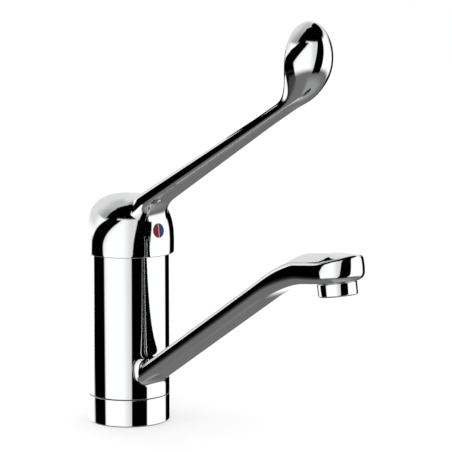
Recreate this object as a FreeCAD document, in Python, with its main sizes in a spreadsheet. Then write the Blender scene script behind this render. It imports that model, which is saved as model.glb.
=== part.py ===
import FreeCAD, Part
import math
import os
import Sketcher

doc = FreeCAD.newDocument("sink_tap")
sheet = doc.addObject("Spreadsheet::Sheet", "Sizes")

# Driving dimensions in millimetres and degrees.
# The origin is the middle of the underside, +Z is up, +X points along the spout.
DRIVING = {
    # Column and base
    "body_radius": 27.0,
    "sleeve_wall": 2.6,
    "base_height": 18.0,
    "seam_gap": 0.4,
    "base_lift": 0.3,
    "sleeve_top_height": 114.0,
    "sleeve_edge_round": 1.0,
    "core_gap": 0.5,
    "fit_gap": 0.05,
    "ring_fit": 0.1,
    "core_shoulder_height": 72.0,
    "cup_radius": 22.0,
    "cup_top_height": 106.0,
    "cup_floor_height": 83.5,
    "cup_bore_radius": 17.7,
    "gasket_radius": 25.5,
    "gasket_width": 1.6,
    "gasket_depth": 1.5,
    # Water ways in the core
    "inlet_across": 6.5,
    "inlet_forward": 5.0,
    "inlet_thread_radius": 4.5,
    "inlet_thread_depth": 14.0,
    "water_way_radius": 2.8,
    "outlet_back": 5.0,
    "outlet_port_height": 45.0,
    "outlet_port_radius": 2.4,
    "stud_back": 12.0,
    "stud_hole_radius": 3.4,
    "stud_hole_depth": 18.0,
    "chamber_bottom": 31.5,
    "chamber_top": 58.0,
    "chamber_radius": 20.5,
    # Swivel rings, seals and stop
    "slide_ring_height": 3.5,
    "lower_slide_bottom": 23.0,
    "slide_ring_depth": 1.5,
    "seal_section_radius": 1.2,
    "lower_seal_height": 29.0,
    "upper_seal_height": 62.4,
    "thrust_ring_height": 3.0,
    "lip_height": 2.5,
    "lip_overhang": 2.0,
    "retainer_height": 1.4,
    "retainer_depth": 1.0,
    "stop_pin_radius": 1.2,
    "stop_pin_height": 21.0,
    "stop_pin_stand": 1.3,
    "stop_pin_depth": 5.0,
    "stop_slot_room": 0.4,
    "swivel_half_range": 70.0,
    # Cartridge
    "cartridge_radius": 17.5,
    "cartridge_wall": 1.7,
    "base_plate_height": 3.5,
    "disc_height": 3.5,
    "moving_disc_height": 3.0,
    "disc_gap": 0.02,
    "moving_disc_radius": 10.4,
    "moving_disc_back": 2.2,
    "mixing_recess_depth": 1.2,
    "mixing_recess_half_width": 7.0,
    "mixing_recess_back": 7.4,
    "mixing_recess_front": 1.4,
    "carrier_height": 3.5,
    "carrier_radius": 10.4,
    "port_seal_width": 1.4,
    "port_seal_height": 1.3,
    "rotor_flange_height": 2.2,
    "rotor_flange_gap": 0.05,
    "rotor_radius": 12.0,
    "neck_wall": 2.3,
    "neck_top_height": 113.0,
    "shoulder_plate": 2.6,
    "nut_radius": 19.5,
    "nut_hex_height": 3.0,
    "nut_hex_half_across": 18.0,
    "shroud_wall": 2.0,
    "shroud_plate": 1.6,
    "shroud_overlap": 6.0,
    # Lever pivot and stem
    "pivot_height": 106.5,
    "pivot_pin_radius": 1.5,
    "pivot_pin_half_length": 11.4,
    "stem_side": 8.0,
    "stem_room": 0.15,
    "stem_top_height": 136.0,
    "ball_height": 96.2,
    "ball_radius": 2.2,
    "ball_room": 0.3,
    "stem_neck_radius": 2.0,
    "stem_neck_top": 102.5,
    "rotor_slot_half": 8.2,
    # Lever cap
    "cap_radius": 29.7,
    "cap_forward": 1.2,
    "rim_height": 112.5,
    "dome_base_height": 130.5,
    "dome_rise": 20.2,
    "cap_bore_gap": 0.5,
    "cap_crown": 2.6,
    "bore_top_height": 126.0,
    "rim_round": 0.45,
    "roof_middle_radius": 21.0,
    "roof_middle_height": 138.0,
    "roof_top_height": 144.0,
    "boss_radius": 9.5,
    "boss_bottom_height": 120.0,
    "socket_top_gap": 0.3,
    # Index marker and grub screw
    "index_radius": 4.9,
    "index_height": 129.5,
    "index_depth": 1.6,
    "index_stand": 0.3,
    "index_room": 0.1,
    "index_rib": 0.6,
    "index_tile": 0.8,
    "index_shank_radius": 2.4,
    "index_shank_length": 3.0,
    "screw_radius": 2.5,
    "screw_length": 6.0,
    "screw_socket_radius": 1.25,
    "screw_socket_depth": 2.6,
    # Spout
    "outlet_reach": 186.0,
    "outlet_tilt": 8.4,
    "head_middle_height": 122.7,
    "head_half_width": 17.5,
    "head_half_height": 7.2,
    "head_top_round": 3.0,
    "head_bottom_round": 4.6,
    "spout_rise": 33.3,
    "spout_root_height": 36.1,
    "spout_root_half_width": 12.0,
    "spout_root_half_height": 5.2,
    "spout_bend_forward": 127.0,
    "head_root_forward": 168.0,
    "bend_fullness": 0.85,
    "head_root_half_height": 8.1,
    "head_root_half_width": 16.4,
    "spout_bend_half_width": 13.0,
    "spout_bend_half_height": 5.3,
    "spout_top_round": 2.5,
    "spout_bottom_round": 4.2,
    "root_round": 2.5,
    "channel_half_width": 7.5,
    "channel_half_height": 2.6,
    # Aerator
    "nozzle_radius": 10.4,
    "nozzle_length": 5.0,
    "nozzle_bore_radius": 8.6,
    "aerator_radius": 12.1,
    "aerator_length": 8.2,
    "aerator_lip_radius": 9.4,
    "aerator_lip": 1.0,
    "aerator_gap": 0.15,
    "washer_height": 1.2,
    "insert_height": 6.0,
    "insert_cell_radius": 0.95,
    "insert_cell_pitch": 2.35,
    "screen_height": 0.4,
    # Lever arm and paddle
    "arm_rise": 29.5,
    "arm_axis_height": 134.9,
    "arm_root_forward": 12.0,
    "arm_root_half_width": 10.0,
    "arm_root_half_height": 5.5,
    "arm_end_forward": 127.0,
    "arm_end_half_width": 7.5,
    "arm_end_half_height": 3.1,
    "arm_corner_share": 0.62,
    "arm_blend_round": 5.0,
    "paddle_bend_forward": 143.5,
    "paddle_bend_radius": 39.5,
    "paddle_tip_rise": 117.0,
    "paddle_half_width": 17.0,
    "paddle_half_height": 5.2,
    "paddle_widest_share": 0.63,
    "paddle_corner_share": 0.85,
}

# Counts of the sections along each straight run and bend, and where the paddle's stand.
SPOUT_RUN_STEPS = 8
SPOUT_BEND_STEPS = 5
ARM_STEPS = 9
PADDLE_SHARES = (0.0, 0.14, 0.28, 0.42, 0.55, 0.68, 0.8, 0.9, 0.965, 0.995)


class Size:
    """A number together with the sheet expression that gives it."""

    def __init__(self, number, text):
        self.number = number
        self.text = text

    def joined(self, other, sign, number):
        right = other.text if isinstance(other, Size) else repr(float(other))
        return Size(number, "(" + self.text + " " + sign + " " + right + ")")

    def __add__(self, other):
        return self.joined(other, "+", self.number + plain(other))

    def __sub__(self, other):
        return self.joined(other, "-", self.number - plain(other))

    def __mul__(self, other):
        return self.joined(other, "*", self.number * plain(other))

    def __truediv__(self, other):
        return self.joined(other, "/", self.number / plain(other))

    def __neg__(self):
        return Size(-self.number, "(0 - " + self.text + ")")


def plain(value):
    return value.number if isinstance(value, Size) else float(value)


def write_sheet():
    for row, (alias, value) in enumerate(DRIVING.items(), start=1):
        sheet.set("A%d" % row, alias)
        sheet.set("B%d" % row, repr(value))
        sheet.setAlias("B%d" % row, alias)
    doc.recompute()


def size(alias):
    return Size(DRIVING[alias], "Sizes." + alias)


def sine(angle):
    return Size(math.sin(math.radians(angle.number)), "sin(" + angle.text + " * 1deg)")


def cosine(angle):
    return Size(math.cos(math.radians(angle.number)), "cos(" + angle.text + " * 1deg)")


def fixed(number):
    return Size(float(number), repr(float(number)))


def bind(obj, name, value):
    if isinstance(value, Size):
        setattr(obj, name, value.number)
        obj.setExpression(name, value.text)
    else:
        setattr(obj, name, value)


def new_body(label):
    body = doc.addObject("PartDesign::Body", label)
    body.Label = label
    return body


def plane(body, role):
    return [item for item in body.Origin.OriginFeatures if item.Role == role][0]


def new_sketch(body, role, name):
    sketch = body.newObject("Sketcher::SketchObject", name)
    sketch.AttachmentSupport = (plane(body, role), [""])
    sketch.MapMode = "FlatFace"
    return sketch


def place_sketch(sketch, across, up, angle):
    """Shift a sketch in its plane and turn it, all from the sheet."""
    base = FreeCAD.Vector(plain(across), plain(up), 0)
    turn = FreeCAD.Rotation(FreeCAD.Vector(0, 0, 1), plain(angle))
    sketch.AttachmentOffset = FreeCAD.Placement(base, turn)
    for name, value in (("Base.x", across), ("Base.y", up), ("Rotation.Angle", angle)):
        sketch.setExpression("AttachmentOffset." + name, value.text)


def pin_point(sketch, geometry, end, across, up):
    for kind, value in (("DistanceX", across), ("DistanceY", up)):
        rule = Sketcher.Constraint(kind, -1, 1, geometry, end, plain(value))
        index = sketch.addConstraint(rule)
        if isinstance(value, Size):
            sketch.setExpression("Constraints[%d]" % index, value.text)


def set_rule(sketch, kind, geometry, value):
    index = sketch.addConstraint(Sketcher.Constraint(kind, geometry, plain(value)))
    if isinstance(value, Size):
        sketch.setExpression("Constraints[%d]" % index, value.text)


def polygon(sketch, points):
    """Closed outline of straight lines, each corner held by the sheet."""
    first = sketch.GeometryCount
    corners = [FreeCAD.Vector(plain(across), plain(up), 0) for across, up in points]
    count = len(corners)
    for index in range(count):
        line = Part.LineSegment(corners[index], corners[(index + 1) % count])
        sketch.addGeometry(line, False)
    for index in range(count):
        following = first + (index + 1) % count
        sketch.addConstraint(Sketcher.Constraint("Coincident", first + index, 2, following, 1))
    for index, (across, up) in enumerate(points):
        pin_point(sketch, first + index, 1, across, up)


def circle(sketch, across, up, radius):
    middle = FreeCAD.Vector(plain(across), plain(up), 0)
    index = sketch.addGeometry(Part.Circle(middle, FreeCAD.Vector(0, 0, 1), plain(radius)), False)
    pin_point(sketch, index, 3, across, up)
    set_rule(sketch, "Radius", index, radius)


def turned_feature(body, points, kind, name, frame=None):
    """Revolve an outline of (radius, height) points about the Z axis or the axis of a frame."""
    sketch = new_sketch(body, "XZ_Plane", name + "_outline")
    if frame:
        place_sketch(sketch, *frame)
    polygon(sketch, points)
    feature = body.newObject(kind, name)
    feature.Profile = sketch
    feature.ReferenceAxis = (sketch, ["V_Axis"])
    feature.Angle = 360
    body.Tip = feature
    return feature


def turned(label, points, frame=None):
    body = new_body(label)
    turned_feature(body, points, "PartDesign::Revolution", label + "_turned", frame)
    return body


def groove(body, points, name, frame=None):
    return turned_feature(body, points, "PartDesign::Groove", name, frame)


def ring_points(inner, outer, bottom, top):
    return [(inner, bottom), (outer, bottom), (outer, top), (inner, top)]


def drilled(body, role, centres, radius, start, depth, name, up=True):
    """Round holes from a plane at the given offset, each of the given depth."""
    sketch = new_sketch(body, role, name + "_centres")
    bind_offset(sketch, start)
    for across, height in centres:
        circle(sketch, across, height, radius)
    feature = body.newObject("PartDesign::Pocket", name)
    feature.Profile = sketch
    feature.Type = "Length"
    bind(feature, "Length", depth)
    feature.Reversed = up
    body.Tip = feature
    return feature


def bind_offset(sketch, offset):
    if isinstance(offset, Size):
        base = FreeCAD.Vector(0, 0, offset.number)
        sketch.AttachmentOffset = FreeCAD.Placement(base, FreeCAD.Rotation())
        sketch.setExpression("AttachmentOffset.Base.z", offset.text)


def padded(body, sketch, length, name, kind="PartDesign::Pad", midplane=False, reverse=False):
    feature = body.newObject(kind, name)
    feature.Profile = sketch
    feature.Type = "Length"
    bind(feature, "Length", length)
    feature.Midplane = midplane
    feature.Reversed = reverse
    body.Tip = feature
    return feature


def rounded_section(body, name, station):
    """Rounded rectangle square to the path at one station of a loft."""
    sketch = new_sketch(body, "YZ_Plane", name)
    base = FreeCAD.Vector(0, plain(station["height"]), plain(station["forward"]))
    turn = FreeCAD.Rotation(FreeCAD.Vector(1, 0, 0), -plain(station["rise"]))
    sketch.AttachmentOffset = FreeCAD.Placement(base, turn)
    sketch.setExpression("AttachmentOffset.Base.y", station["height"].text)
    sketch.setExpression("AttachmentOffset.Base.z", station["forward"].text)
    sketch.setExpression("AttachmentOffset.Rotation.Angle", (-station["rise"]).text)
    wide = station["half_width"]
    tall = station["half_height"]
    top = station["top_round"]
    low = station["bottom_round"]
    corners = [
        (wide - low, -tall, wide, low - tall, wide - low, low - tall, low, -90),
        (wide, tall - top, wide - top, tall, wide - top, tall - top, top, 0),
        (top - wide, tall, -wide, tall - top, top - wide, tall - top, top, 90),
        (-wide, low - tall, low - wide, -tall, low - wide, low - tall, low, 180),
    ]
    for x1, y1, x2, y2, mid_x, mid_y, radius, start in corners:
        round_edge = Part.Circle(FreeCAD.Vector(plain(mid_x), plain(mid_y), 0),
                                 FreeCAD.Vector(0, 0, 1), plain(radius))
        begin = math.radians(start)
        sketch.addGeometry(Part.ArcOfCircle(round_edge, begin, begin + math.pi / 2), False)
    for index in range(4):
        x1, y1 = corners[index][2:4]
        x2, y2 = corners[(index + 1) % 4][0:2]
        ends = [FreeCAD.Vector(plain(x1), plain(y1), 0), FreeCAD.Vector(plain(x2), plain(y2), 0)]
        sketch.addGeometry(Part.LineSegment(*ends), False)
    for index in range(4):
        sketch.addConstraint(Sketcher.Constraint("Coincident", index, 2, 4 + index, 1))
        following = (index + 1) % 4
        sketch.addConstraint(Sketcher.Constraint("Coincident", 4 + index, 2, following, 1))
    for index, corner in enumerate(corners):
        pin_point(sketch, index, 1, corner[0], corner[1])
        pin_point(sketch, index, 2, corner[2], corner[3])
        set_rule(sketch, "Radius", index, corner[6])
    return sketch


def loft(body, stations, name):
    sections = [rounded_section(body, "%s_%d" % (name, index), station)
                for index, station in enumerate(stations)]
    feature = body.newObject("PartDesign::AdditiveLoft", name)
    feature.Profile = sections[0]
    feature.Sections = sections[1:]
    feature.Ruled = False
    body.Tip = feature
    return feature


def station(forward, height, rise, half_width, half_height, top_round, bottom_round):
    return {"forward": forward, "height": height, "rise": rise, "half_width": half_width,
            "half_height": half_height, "top_round": top_round, "bottom_round": bottom_round}


def mixed(first, second, share):
    return first + (second - first) * share


write_sheet()
ZERO = fixed(0.0)
BODY = size("body_radius")
SLEEVE_BORE = BODY - size("sleeve_wall")
CORE = SLEEVE_BORE - size("core_gap")
RING_OUTSIDE = SLEEVE_BORE - size("fit_gap")
SLEEVE_BOTTOM = size("base_height") + size("seam_gap")
SHOULDER = size("core_shoulder_height")
CUP = size("cup_radius")
CUP_TOP = size("cup_top_height")
CUP_FLOOR = size("cup_floor_height")
SEAL_MIDDLE = RING_OUTSIDE - size("seal_section_radius")
SEAL_FLOOR = SEAL_MIDDLE - size("seal_section_radius")
SEAL_HALF = size("seal_section_radius") + size("ring_fit")
SLIDE_FLOOR = CORE - size("slide_ring_depth")
LIP_BOTTOM = SHOULDER + size("thrust_ring_height") + size("fit_gap")
LIP_TOP = LIP_BOTTOM + size("lip_height")
RETAINER_BOTTOM = LIP_TOP + size("ring_fit")
PIVOT = size("pivot_height")
RIM = size("rim_height")


def base_ring():
    body = turned("base_ring", ring_points(CORE + size("ring_fit"), BODY, size("base_lift"),
                                           size("base_height")))
    inner = size("gasket_radius") - size("gasket_width") / 2
    outer = size("gasket_radius") + size("gasket_width") / 2
    groove(body, ring_points(inner, outer, ZERO, size("gasket_depth")), "gasket_groove")
    return body


def base_gasket():
    inner = size("gasket_radius") - size("gasket_width") / 2
    outer = size("gasket_radius") + size("gasket_width") / 2
    return turned("base_gasket", ring_points(inner, outer, ZERO, size("gasket_depth")))


BASE_PLATE_TOP = CUP_FLOOR + size("base_plate_height")
FIXED_DISC_TOP = BASE_PLATE_TOP + size("disc_height")
MOVING_DISC_BOTTOM = FIXED_DISC_TOP + size("disc_gap")
MOVING_DISC_TOP = MOVING_DISC_BOTTOM + size("moving_disc_height")
CARRIER_TOP = MOVING_DISC_TOP + size("carrier_height")
FLANGE_BOTTOM = CARRIER_TOP + size("rotor_flange_gap")
FLANGE_TOP = FLANGE_BOTTOM + size("rotor_flange_height")
CAVITY_TOP = FLANGE_TOP + size("rotor_flange_gap")
CARTRIDGE_SHOULDER = CAVITY_TOP + size("shoulder_plate")
CAVITY = size("cartridge_radius") - size("cartridge_wall")
NECK_BORE = size("rotor_radius") + size("ring_fit") * 2
NECK = NECK_BORE + size("neck_wall")
PORTS = [
    (size("inlet_forward"), size("inlet_across")),
    (size("inlet_forward"), -size("inlet_across")),
    (-size("outlet_back"), ZERO),
]
CAP_BORE = BODY + size("cap_bore_gap")
OUTLET = (size("outlet_reach"), size("head_middle_height"), size("outlet_tilt"))
HEAD_BOTTOM = -size("head_half_height")
NOZZLE_END = HEAD_BOTTOM - size("nozzle_length")
WASHER_BOTTOM = NOZZLE_END - size("washer_height")
AERATOR_BOTTOM = HEAD_BOTTOM - size("aerator_length")
LIP_FLOOR = AERATOR_BOTTOM + size("aerator_lip")
INSERT_RADIUS = size("nozzle_bore_radius") - size("ring_fit") * 2
INSERT_TOP = LIP_FLOOR + size("insert_height")
FLANGE_RADIUS = size("nozzle_radius") - size("ring_fit")


def inner_body():
    """Brass core: foot, swivel column and the cup that holds the cartridge."""
    nut_bore = size("nut_radius") + size("ring_fit")
    body = turned("inner_body", [
        (ZERO, ZERO), (CORE, ZERO), (CORE, SHOULDER), (CUP, SHOULDER), (CUP, CUP_TOP),
        (nut_bore, CUP_TOP), (nut_bore, CARTRIDGE_SHOULDER),
        (size("cup_bore_radius"), CARTRIDGE_SHOULDER),
        (size("cup_bore_radius"), CUP_FLOOR), (ZERO, CUP_FLOOR)])
    outside = BODY
    groove(body, ring_points(size("chamber_radius"), outside, size("chamber_bottom"),
                             size("chamber_top")), "water_chamber")
    for name in ("lower_seal", "upper_seal"):
        middle = size(name + "_height")
        groove(body, ring_points(SEAL_FLOOR, outside, middle - SEAL_HALF, middle + SEAL_HALF),
               name + "_groove")
    slide_bottom = size("lower_slide_bottom")
    groove(body, ring_points(SLIDE_FLOOR, outside, slide_bottom,
                             slide_bottom + size("slide_ring_height")), "slide_groove")
    groove(body, ring_points(CUP - size("retainer_depth"), outside, RETAINER_BOTTOM,
                             RETAINER_BOTTOM + size("retainer_height")), "retainer_groove")
    inlets = PORTS[:2]
    drilled(body, "XY_Plane", inlets, size("inlet_thread_radius"), ZERO,
            size("inlet_thread_depth"), "inlet_threads")
    drilled(body, "XY_Plane", inlets, size("water_way_radius"), ZERO, CUP_FLOOR, "inlet_ways")
    stud = [(-size("stud_back"), ZERO)]
    drilled(body, "XY_Plane", stud, size("stud_hole_radius"), ZERO,
            size("stud_hole_depth"), "stud_thread")
    port_height = size("outlet_port_height")
    drilled(body, "XY_Plane", PORTS[2:], size("water_way_radius"), port_height,
            CUP_FLOOR - port_height, "outlet_way")
    drilled(body, "YZ_Plane", [(ZERO, port_height + size("water_way_radius"))],
            size("outlet_port_radius"), -size("outlet_back"), BODY, "outlet_port", up=False)
    pin_hole = size("stop_pin_radius") + size("disc_gap")
    drilled(body, "YZ_Plane", [(ZERO, size("stop_pin_height"))], pin_hole, -CORE,
            size("stop_pin_depth"), "stop_pin_hole")
    return body


def seal_ring(label, height):
    ring = doc.addObject("Part::Torus", label)
    ring.Label = label
    bind(ring, "Radius1", SEAL_MIDDLE)
    bind(ring, "Radius2", size("seal_section_radius"))
    ring.setExpression("Placement.Base.z", height.text)
    return ring


def swivel_rings():
    """Plastic slide rings, rubber seals, the clip that keeps the spout down and its stop pin."""
    slide_bottom = size("lower_slide_bottom")
    pieces = [
        turned("lower_slide_ring", ring_points(SLIDE_FLOOR, RING_OUTSIDE, slide_bottom,
                                               slide_bottom + size("slide_ring_height"))),
        turned("upper_slide_ring", ring_points(CUP + size("fit_gap"), RING_OUTSIDE, SHOULDER,
                                               SHOULDER + size("thrust_ring_height"))),
        seal_ring("lower_spout_seal", size("lower_seal_height")),
        seal_ring("upper_spout_seal", size("upper_seal_height")),
        turned("spout_retaining_ring",
               ring_points(CUP - size("retainer_depth") + size("fit_gap"),
                           CORE, RETAINER_BOTTOM + size("fit_gap"),
                           RETAINER_BOTTOM + size("retainer_height"))),
    ]
    pin = doc.addObject("Part::Cylinder", "swivel_stop_pin")
    pin.Label = "swivel_stop_pin"
    bind(pin, "Radius", size("stop_pin_radius"))
    bind(pin, "Height", size("stop_pin_depth") + size("stop_pin_stand"))
    pin.Placement = FreeCAD.Placement(FreeCAD.Vector(0, 0, 0),
                                      FreeCAD.Rotation(FreeCAD.Vector(0, 1, 0), 90))
    pin.setExpression("Placement.Base.x", (-CORE - size("stop_pin_stand")).text)
    pin.setExpression("Placement.Base.z", size("stop_pin_height").text)
    return pieces + [pin]


def cartridge_base():
    body = turned("cartridge_base", ring_points(ZERO, size("cartridge_radius"), CUP_FLOOR,
                                                BASE_PLATE_TOP))
    drilled(body, "XY_Plane", PORTS, size("water_way_radius"), CUP_FLOOR,
            size("base_plate_height"), "ports")
    seat = size("water_way_radius") + size("port_seal_width") + size("fit_gap")
    drilled(body, "XY_Plane", PORTS, seat, CUP_FLOOR, size("port_seal_height"), "seal_seats")
    return body


def port_seals():
    """Three rubber rings between the cup floor and the cartridge base."""
    body = new_body("cartridge_port_seals")
    sketch = new_sketch(body, "XY_Plane", "seal_outlines")
    bind_offset(sketch, CUP_FLOOR)
    for across, up in PORTS:
        circle(sketch, across, up, size("water_way_radius"))
        circle(sketch, across, up, size("water_way_radius") + size("port_seal_width"))
    body.AllowCompound = True
    padded(body, sketch, size("port_seal_height"), "seals")
    return body


def fixed_disc():
    body = turned("fixed_ceramic_disc", ring_points(ZERO, CAVITY - size("fit_gap"),
                                                    BASE_PLATE_TOP, FIXED_DISC_TOP))
    drilled(body, "XY_Plane", PORTS, size("water_way_radius"), BASE_PLATE_TOP,
            size("disc_height"), "ports")
    return body


def moving_disc():
    centre = (-size("moving_disc_back"), ZERO, ZERO)
    body = turned("moving_ceramic_disc", ring_points(ZERO, size("moving_disc_radius"),
                                                     MOVING_DISC_BOTTOM, MOVING_DISC_TOP),
                  centre)
    sketch = new_sketch(body, "XY_Plane", "recess_outline")
    bind_offset(sketch, MOVING_DISC_BOTTOM)
    half = size("mixing_recess_half_width")
    back = -size("mixing_recess_back")
    front = size("mixing_recess_front")
    polygon(sketch, [(back, -half), (front, -half), (front, half), (back, half)])
    padded(body, sketch, size("mixing_recess_depth"), "mixing_recess", "PartDesign::Pocket",
           reverse=True)
    return body


def disc_carrier():
    centre = (-size("moving_disc_back"), ZERO, ZERO)
    body = turned("disc_carrier", ring_points(ZERO, size("carrier_radius"), MOVING_DISC_TOP,
                                              CARRIER_TOP), centre)
    drilled(body, "XY_Plane", [(ZERO, ZERO)], size("ball_radius") + size("ball_room"),
            MOVING_DISC_TOP, size("carrier_height"), "ball_pocket")
    return body


def cartridge_housing():
    outer = size("cartridge_radius")
    top = size("neck_top_height")
    return turned("cartridge_housing", [
        (CAVITY, BASE_PLATE_TOP), (outer, BASE_PLATE_TOP), (outer, CARTRIDGE_SHOULDER),
        (NECK, CARTRIDGE_SHOULDER), (NECK, top), (NECK_BORE, top), (NECK_BORE, CAVITY_TOP),
        (CAVITY, CAVITY_TOP)])


def cartridge_rotor():
    """Turning core of the cartridge, slotted for the stem and drilled for its pin."""
    flange = CAVITY - size("ring_fit") * 2
    shaft = size("rotor_radius")
    top = size("neck_top_height")
    body = turned("cartridge_rotor", [
        (ZERO, FLANGE_BOTTOM), (flange, FLANGE_BOTTOM), (flange, FLANGE_TOP),
        (shaft, FLANGE_TOP), (shaft, top), (ZERO, top)])
    slot = new_sketch(body, "XY_Plane", "slot_outline")
    bind_offset(slot, FLANGE_BOTTOM)
    long_half = size("rotor_slot_half")
    wide_half = size("stem_side") / 2 + size("stem_room")
    polygon(slot, [(-long_half, -wide_half), (long_half, -wide_half),
                   (long_half, wide_half), (-long_half, wide_half)])
    padded(body, slot, top - FLANGE_BOTTOM, "stem_slot", "PartDesign::Pocket", reverse=True)
    hole = new_sketch(body, "XZ_Plane", "pin_hole_outline")
    circle(hole, ZERO, PIVOT, size("pivot_pin_radius") + size("disc_gap"))
    padded(body, hole, size("pivot_pin_half_length") * 2, "pin_hole", "PartDesign::Pocket",
           midplane=True)
    return body


def pivot_pin():
    pin = doc.addObject("Part::Cylinder", "lever_pivot_pin")
    pin.Label = "lever_pivot_pin"
    bind(pin, "Radius", size("pivot_pin_radius"))
    bind(pin, "Height", size("pivot_pin_half_length") * 2)
    pin.Placement = FreeCAD.Placement(FreeCAD.Vector(0, 0, 0),
                                      FreeCAD.Rotation(FreeCAD.Vector(1, 0, 0), -90))
    pin.setExpression("Placement.Base.y", (-size("pivot_pin_half_length")).text)
    pin.setExpression("Placement.Base.z", PIVOT.text)
    return pin


def cartridge_nut():
    """Ring nut: threaded part inside the cup, six flats above it."""
    bore = NECK + size("ring_fit") * 2
    body = turned("cartridge_nut", ring_points(bore, size("nut_radius"), CARTRIDGE_SHOULDER,
                                               CUP_TOP))
    sketch = new_sketch(body, "XY_Plane", "hex_outline")
    bind_offset(sketch, CUP_TOP)
    corner = size("nut_hex_half_across") / math.cos(math.radians(30))
    points = [(corner * math.cos(math.radians(60 * turn)), corner * math.sin(math.radians(60 * turn)))
              for turn in range(6)]
    polygon(sketch, points)
    circle(sketch, ZERO, ZERO, bore)
    padded(body, sketch, size("nut_hex_height"), "hex_head")
    return body


def cartridge_shroud():
    """Pressed cover over the nut, seen from the side when the lever is up."""
    plate_bottom = CUP_TOP + size("nut_hex_height") + size("ring_fit")
    plate_top = plate_bottom + size("shroud_plate")
    inside = CUP + size("fit_gap")
    outside = inside + size("shroud_wall")
    hole = NECK + size("ball_room")
    return turned("cartridge_shroud", [
        (inside, CUP_TOP - size("shroud_overlap")), (outside, CUP_TOP - size("shroud_overlap")),
        (outside, plate_top), (hole, plate_top), (hole, plate_bottom), (inside, plate_bottom)])


def stem():
    """Square steel stem: turns on the pivot pin and ends in a ball that moves the disc."""
    body = new_body("lever_stem")
    half = size("stem_side") / 2
    square = new_sketch(body, "XY_Plane", "square_outline")
    bind_offset(square, size("stem_neck_top"))
    polygon(square, [(-half, -half), (half, -half), (half, half), (-half, half)])
    padded(body, square, size("stem_top_height") - size("stem_neck_top"), "square_bar")
    turned_feature(body, ring_points(ZERO, size("stem_neck_radius"), size("ball_height"),
                                     size("stem_neck_top")), "PartDesign::Revolution", "neck")
    ball = body.newObject("PartDesign::AdditiveSphere", "ball")
    ball.AttachmentSupport = (plane(body, "XY_Plane"), [""])
    ball.MapMode = "FlatFace"
    bind(ball, "Radius", size("ball_radius"))
    ball.setExpression("AttachmentOffset.Base.z", size("ball_height").text)
    body.Tip = ball
    hole = new_sketch(body, "XZ_Plane", "pin_hole_outline")
    circle(hole, ZERO, PIVOT, size("pivot_pin_radius") + size("fit_gap"))
    padded(body, hole, size("stem_side") * 2, "pin_hole", "PartDesign::Pocket", midplane=True)
    return body


def spout_stations():
    """Loft stations along the spout: rising straight run, smooth bend, then the flat head."""
    rise = size("spout_rise")
    slope = sine(rise) / cosine(rise)
    run_start = BODY * 0.4
    bend_start = size("spout_bend_forward")
    root = spout_form("spout_root", "spout")
    bend = spout_form("spout_bend", "spout")
    head_root = spout_form("head_root", "head")
    head = spout_form("head", "head")
    stations = []
    for step in range(SPOUT_RUN_STEPS + 1):
        share = step / SPOUT_RUN_STEPS
        forward = mixed(run_start, bend_start, share)
        height = size("spout_root_height") + slope * (forward - BODY)
        stations.append(formed(forward, height, rise, root, bend, share))
    tilt = size("outlet_tilt")
    reach = size("outlet_reach")
    end_forward = size("head_root_forward")
    step_up = head_root[1] - head[1]
    drop = (reach - end_forward) * (sine(tilt) / cosine(tilt))
    begin = (bend_start, stations[-1]["height"], rise)
    end = (end_forward, size("head_middle_height") - drop + step_up, tilt)
    for step in range(1, SPOUT_BEND_STEPS + 1):
        share = step / SPOUT_BEND_STEPS
        forward, height = smooth_bend(begin, end, share)
        ease = share * share * (3 - 2 * share)
        stations.append(formed(forward, height, mixed(rise, tilt, ease), bend, head_root, ease))
    outlet = (reach, size("head_middle_height"))
    for share in (0.5, 1.0):
        place = [mixed(end[index], outlet[index], share) for index in (0, 1)]
        stations.append(formed(*place, tilt, head_root, head, share))
    return stations


def spout_form(sizes, rounds):
    """Half width, half height and the two corner rounds of one named section."""
    return (size(sizes + "_half_width"), size(sizes + "_half_height"),
            size(rounds + "_top_round"), size(rounds + "_bottom_round"))


def formed(forward, height, rise, first, second, share):
    sizes = [mixed(before, after, share) for before, after in zip(first, second)]
    return station(forward, height, rise, *sizes)


def smooth_bend(begin, end, share):
    """Point of a cubic bend that leaves and arrives along the given rises."""
    length = (end[0] - begin[0]) / cosine(mixed(begin[2], end[2], 0.5)) * size("bend_fullness")
    from_start = 2 * share ** 3 - 3 * share ** 2 + 1
    leaving = share ** 3 - 2 * share ** 2 + share
    arriving = share ** 3 - share ** 2
    forward = (begin[0] * from_start + end[0] * (1 - from_start)
               + length * (cosine(begin[2]) * leaving + cosine(end[2]) * arriving))
    height = (begin[1] * from_start + end[1] * (1 - from_start)
              + length * (sine(begin[2]) * leaving + sine(end[2]) * arriving))
    return forward, height


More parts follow.
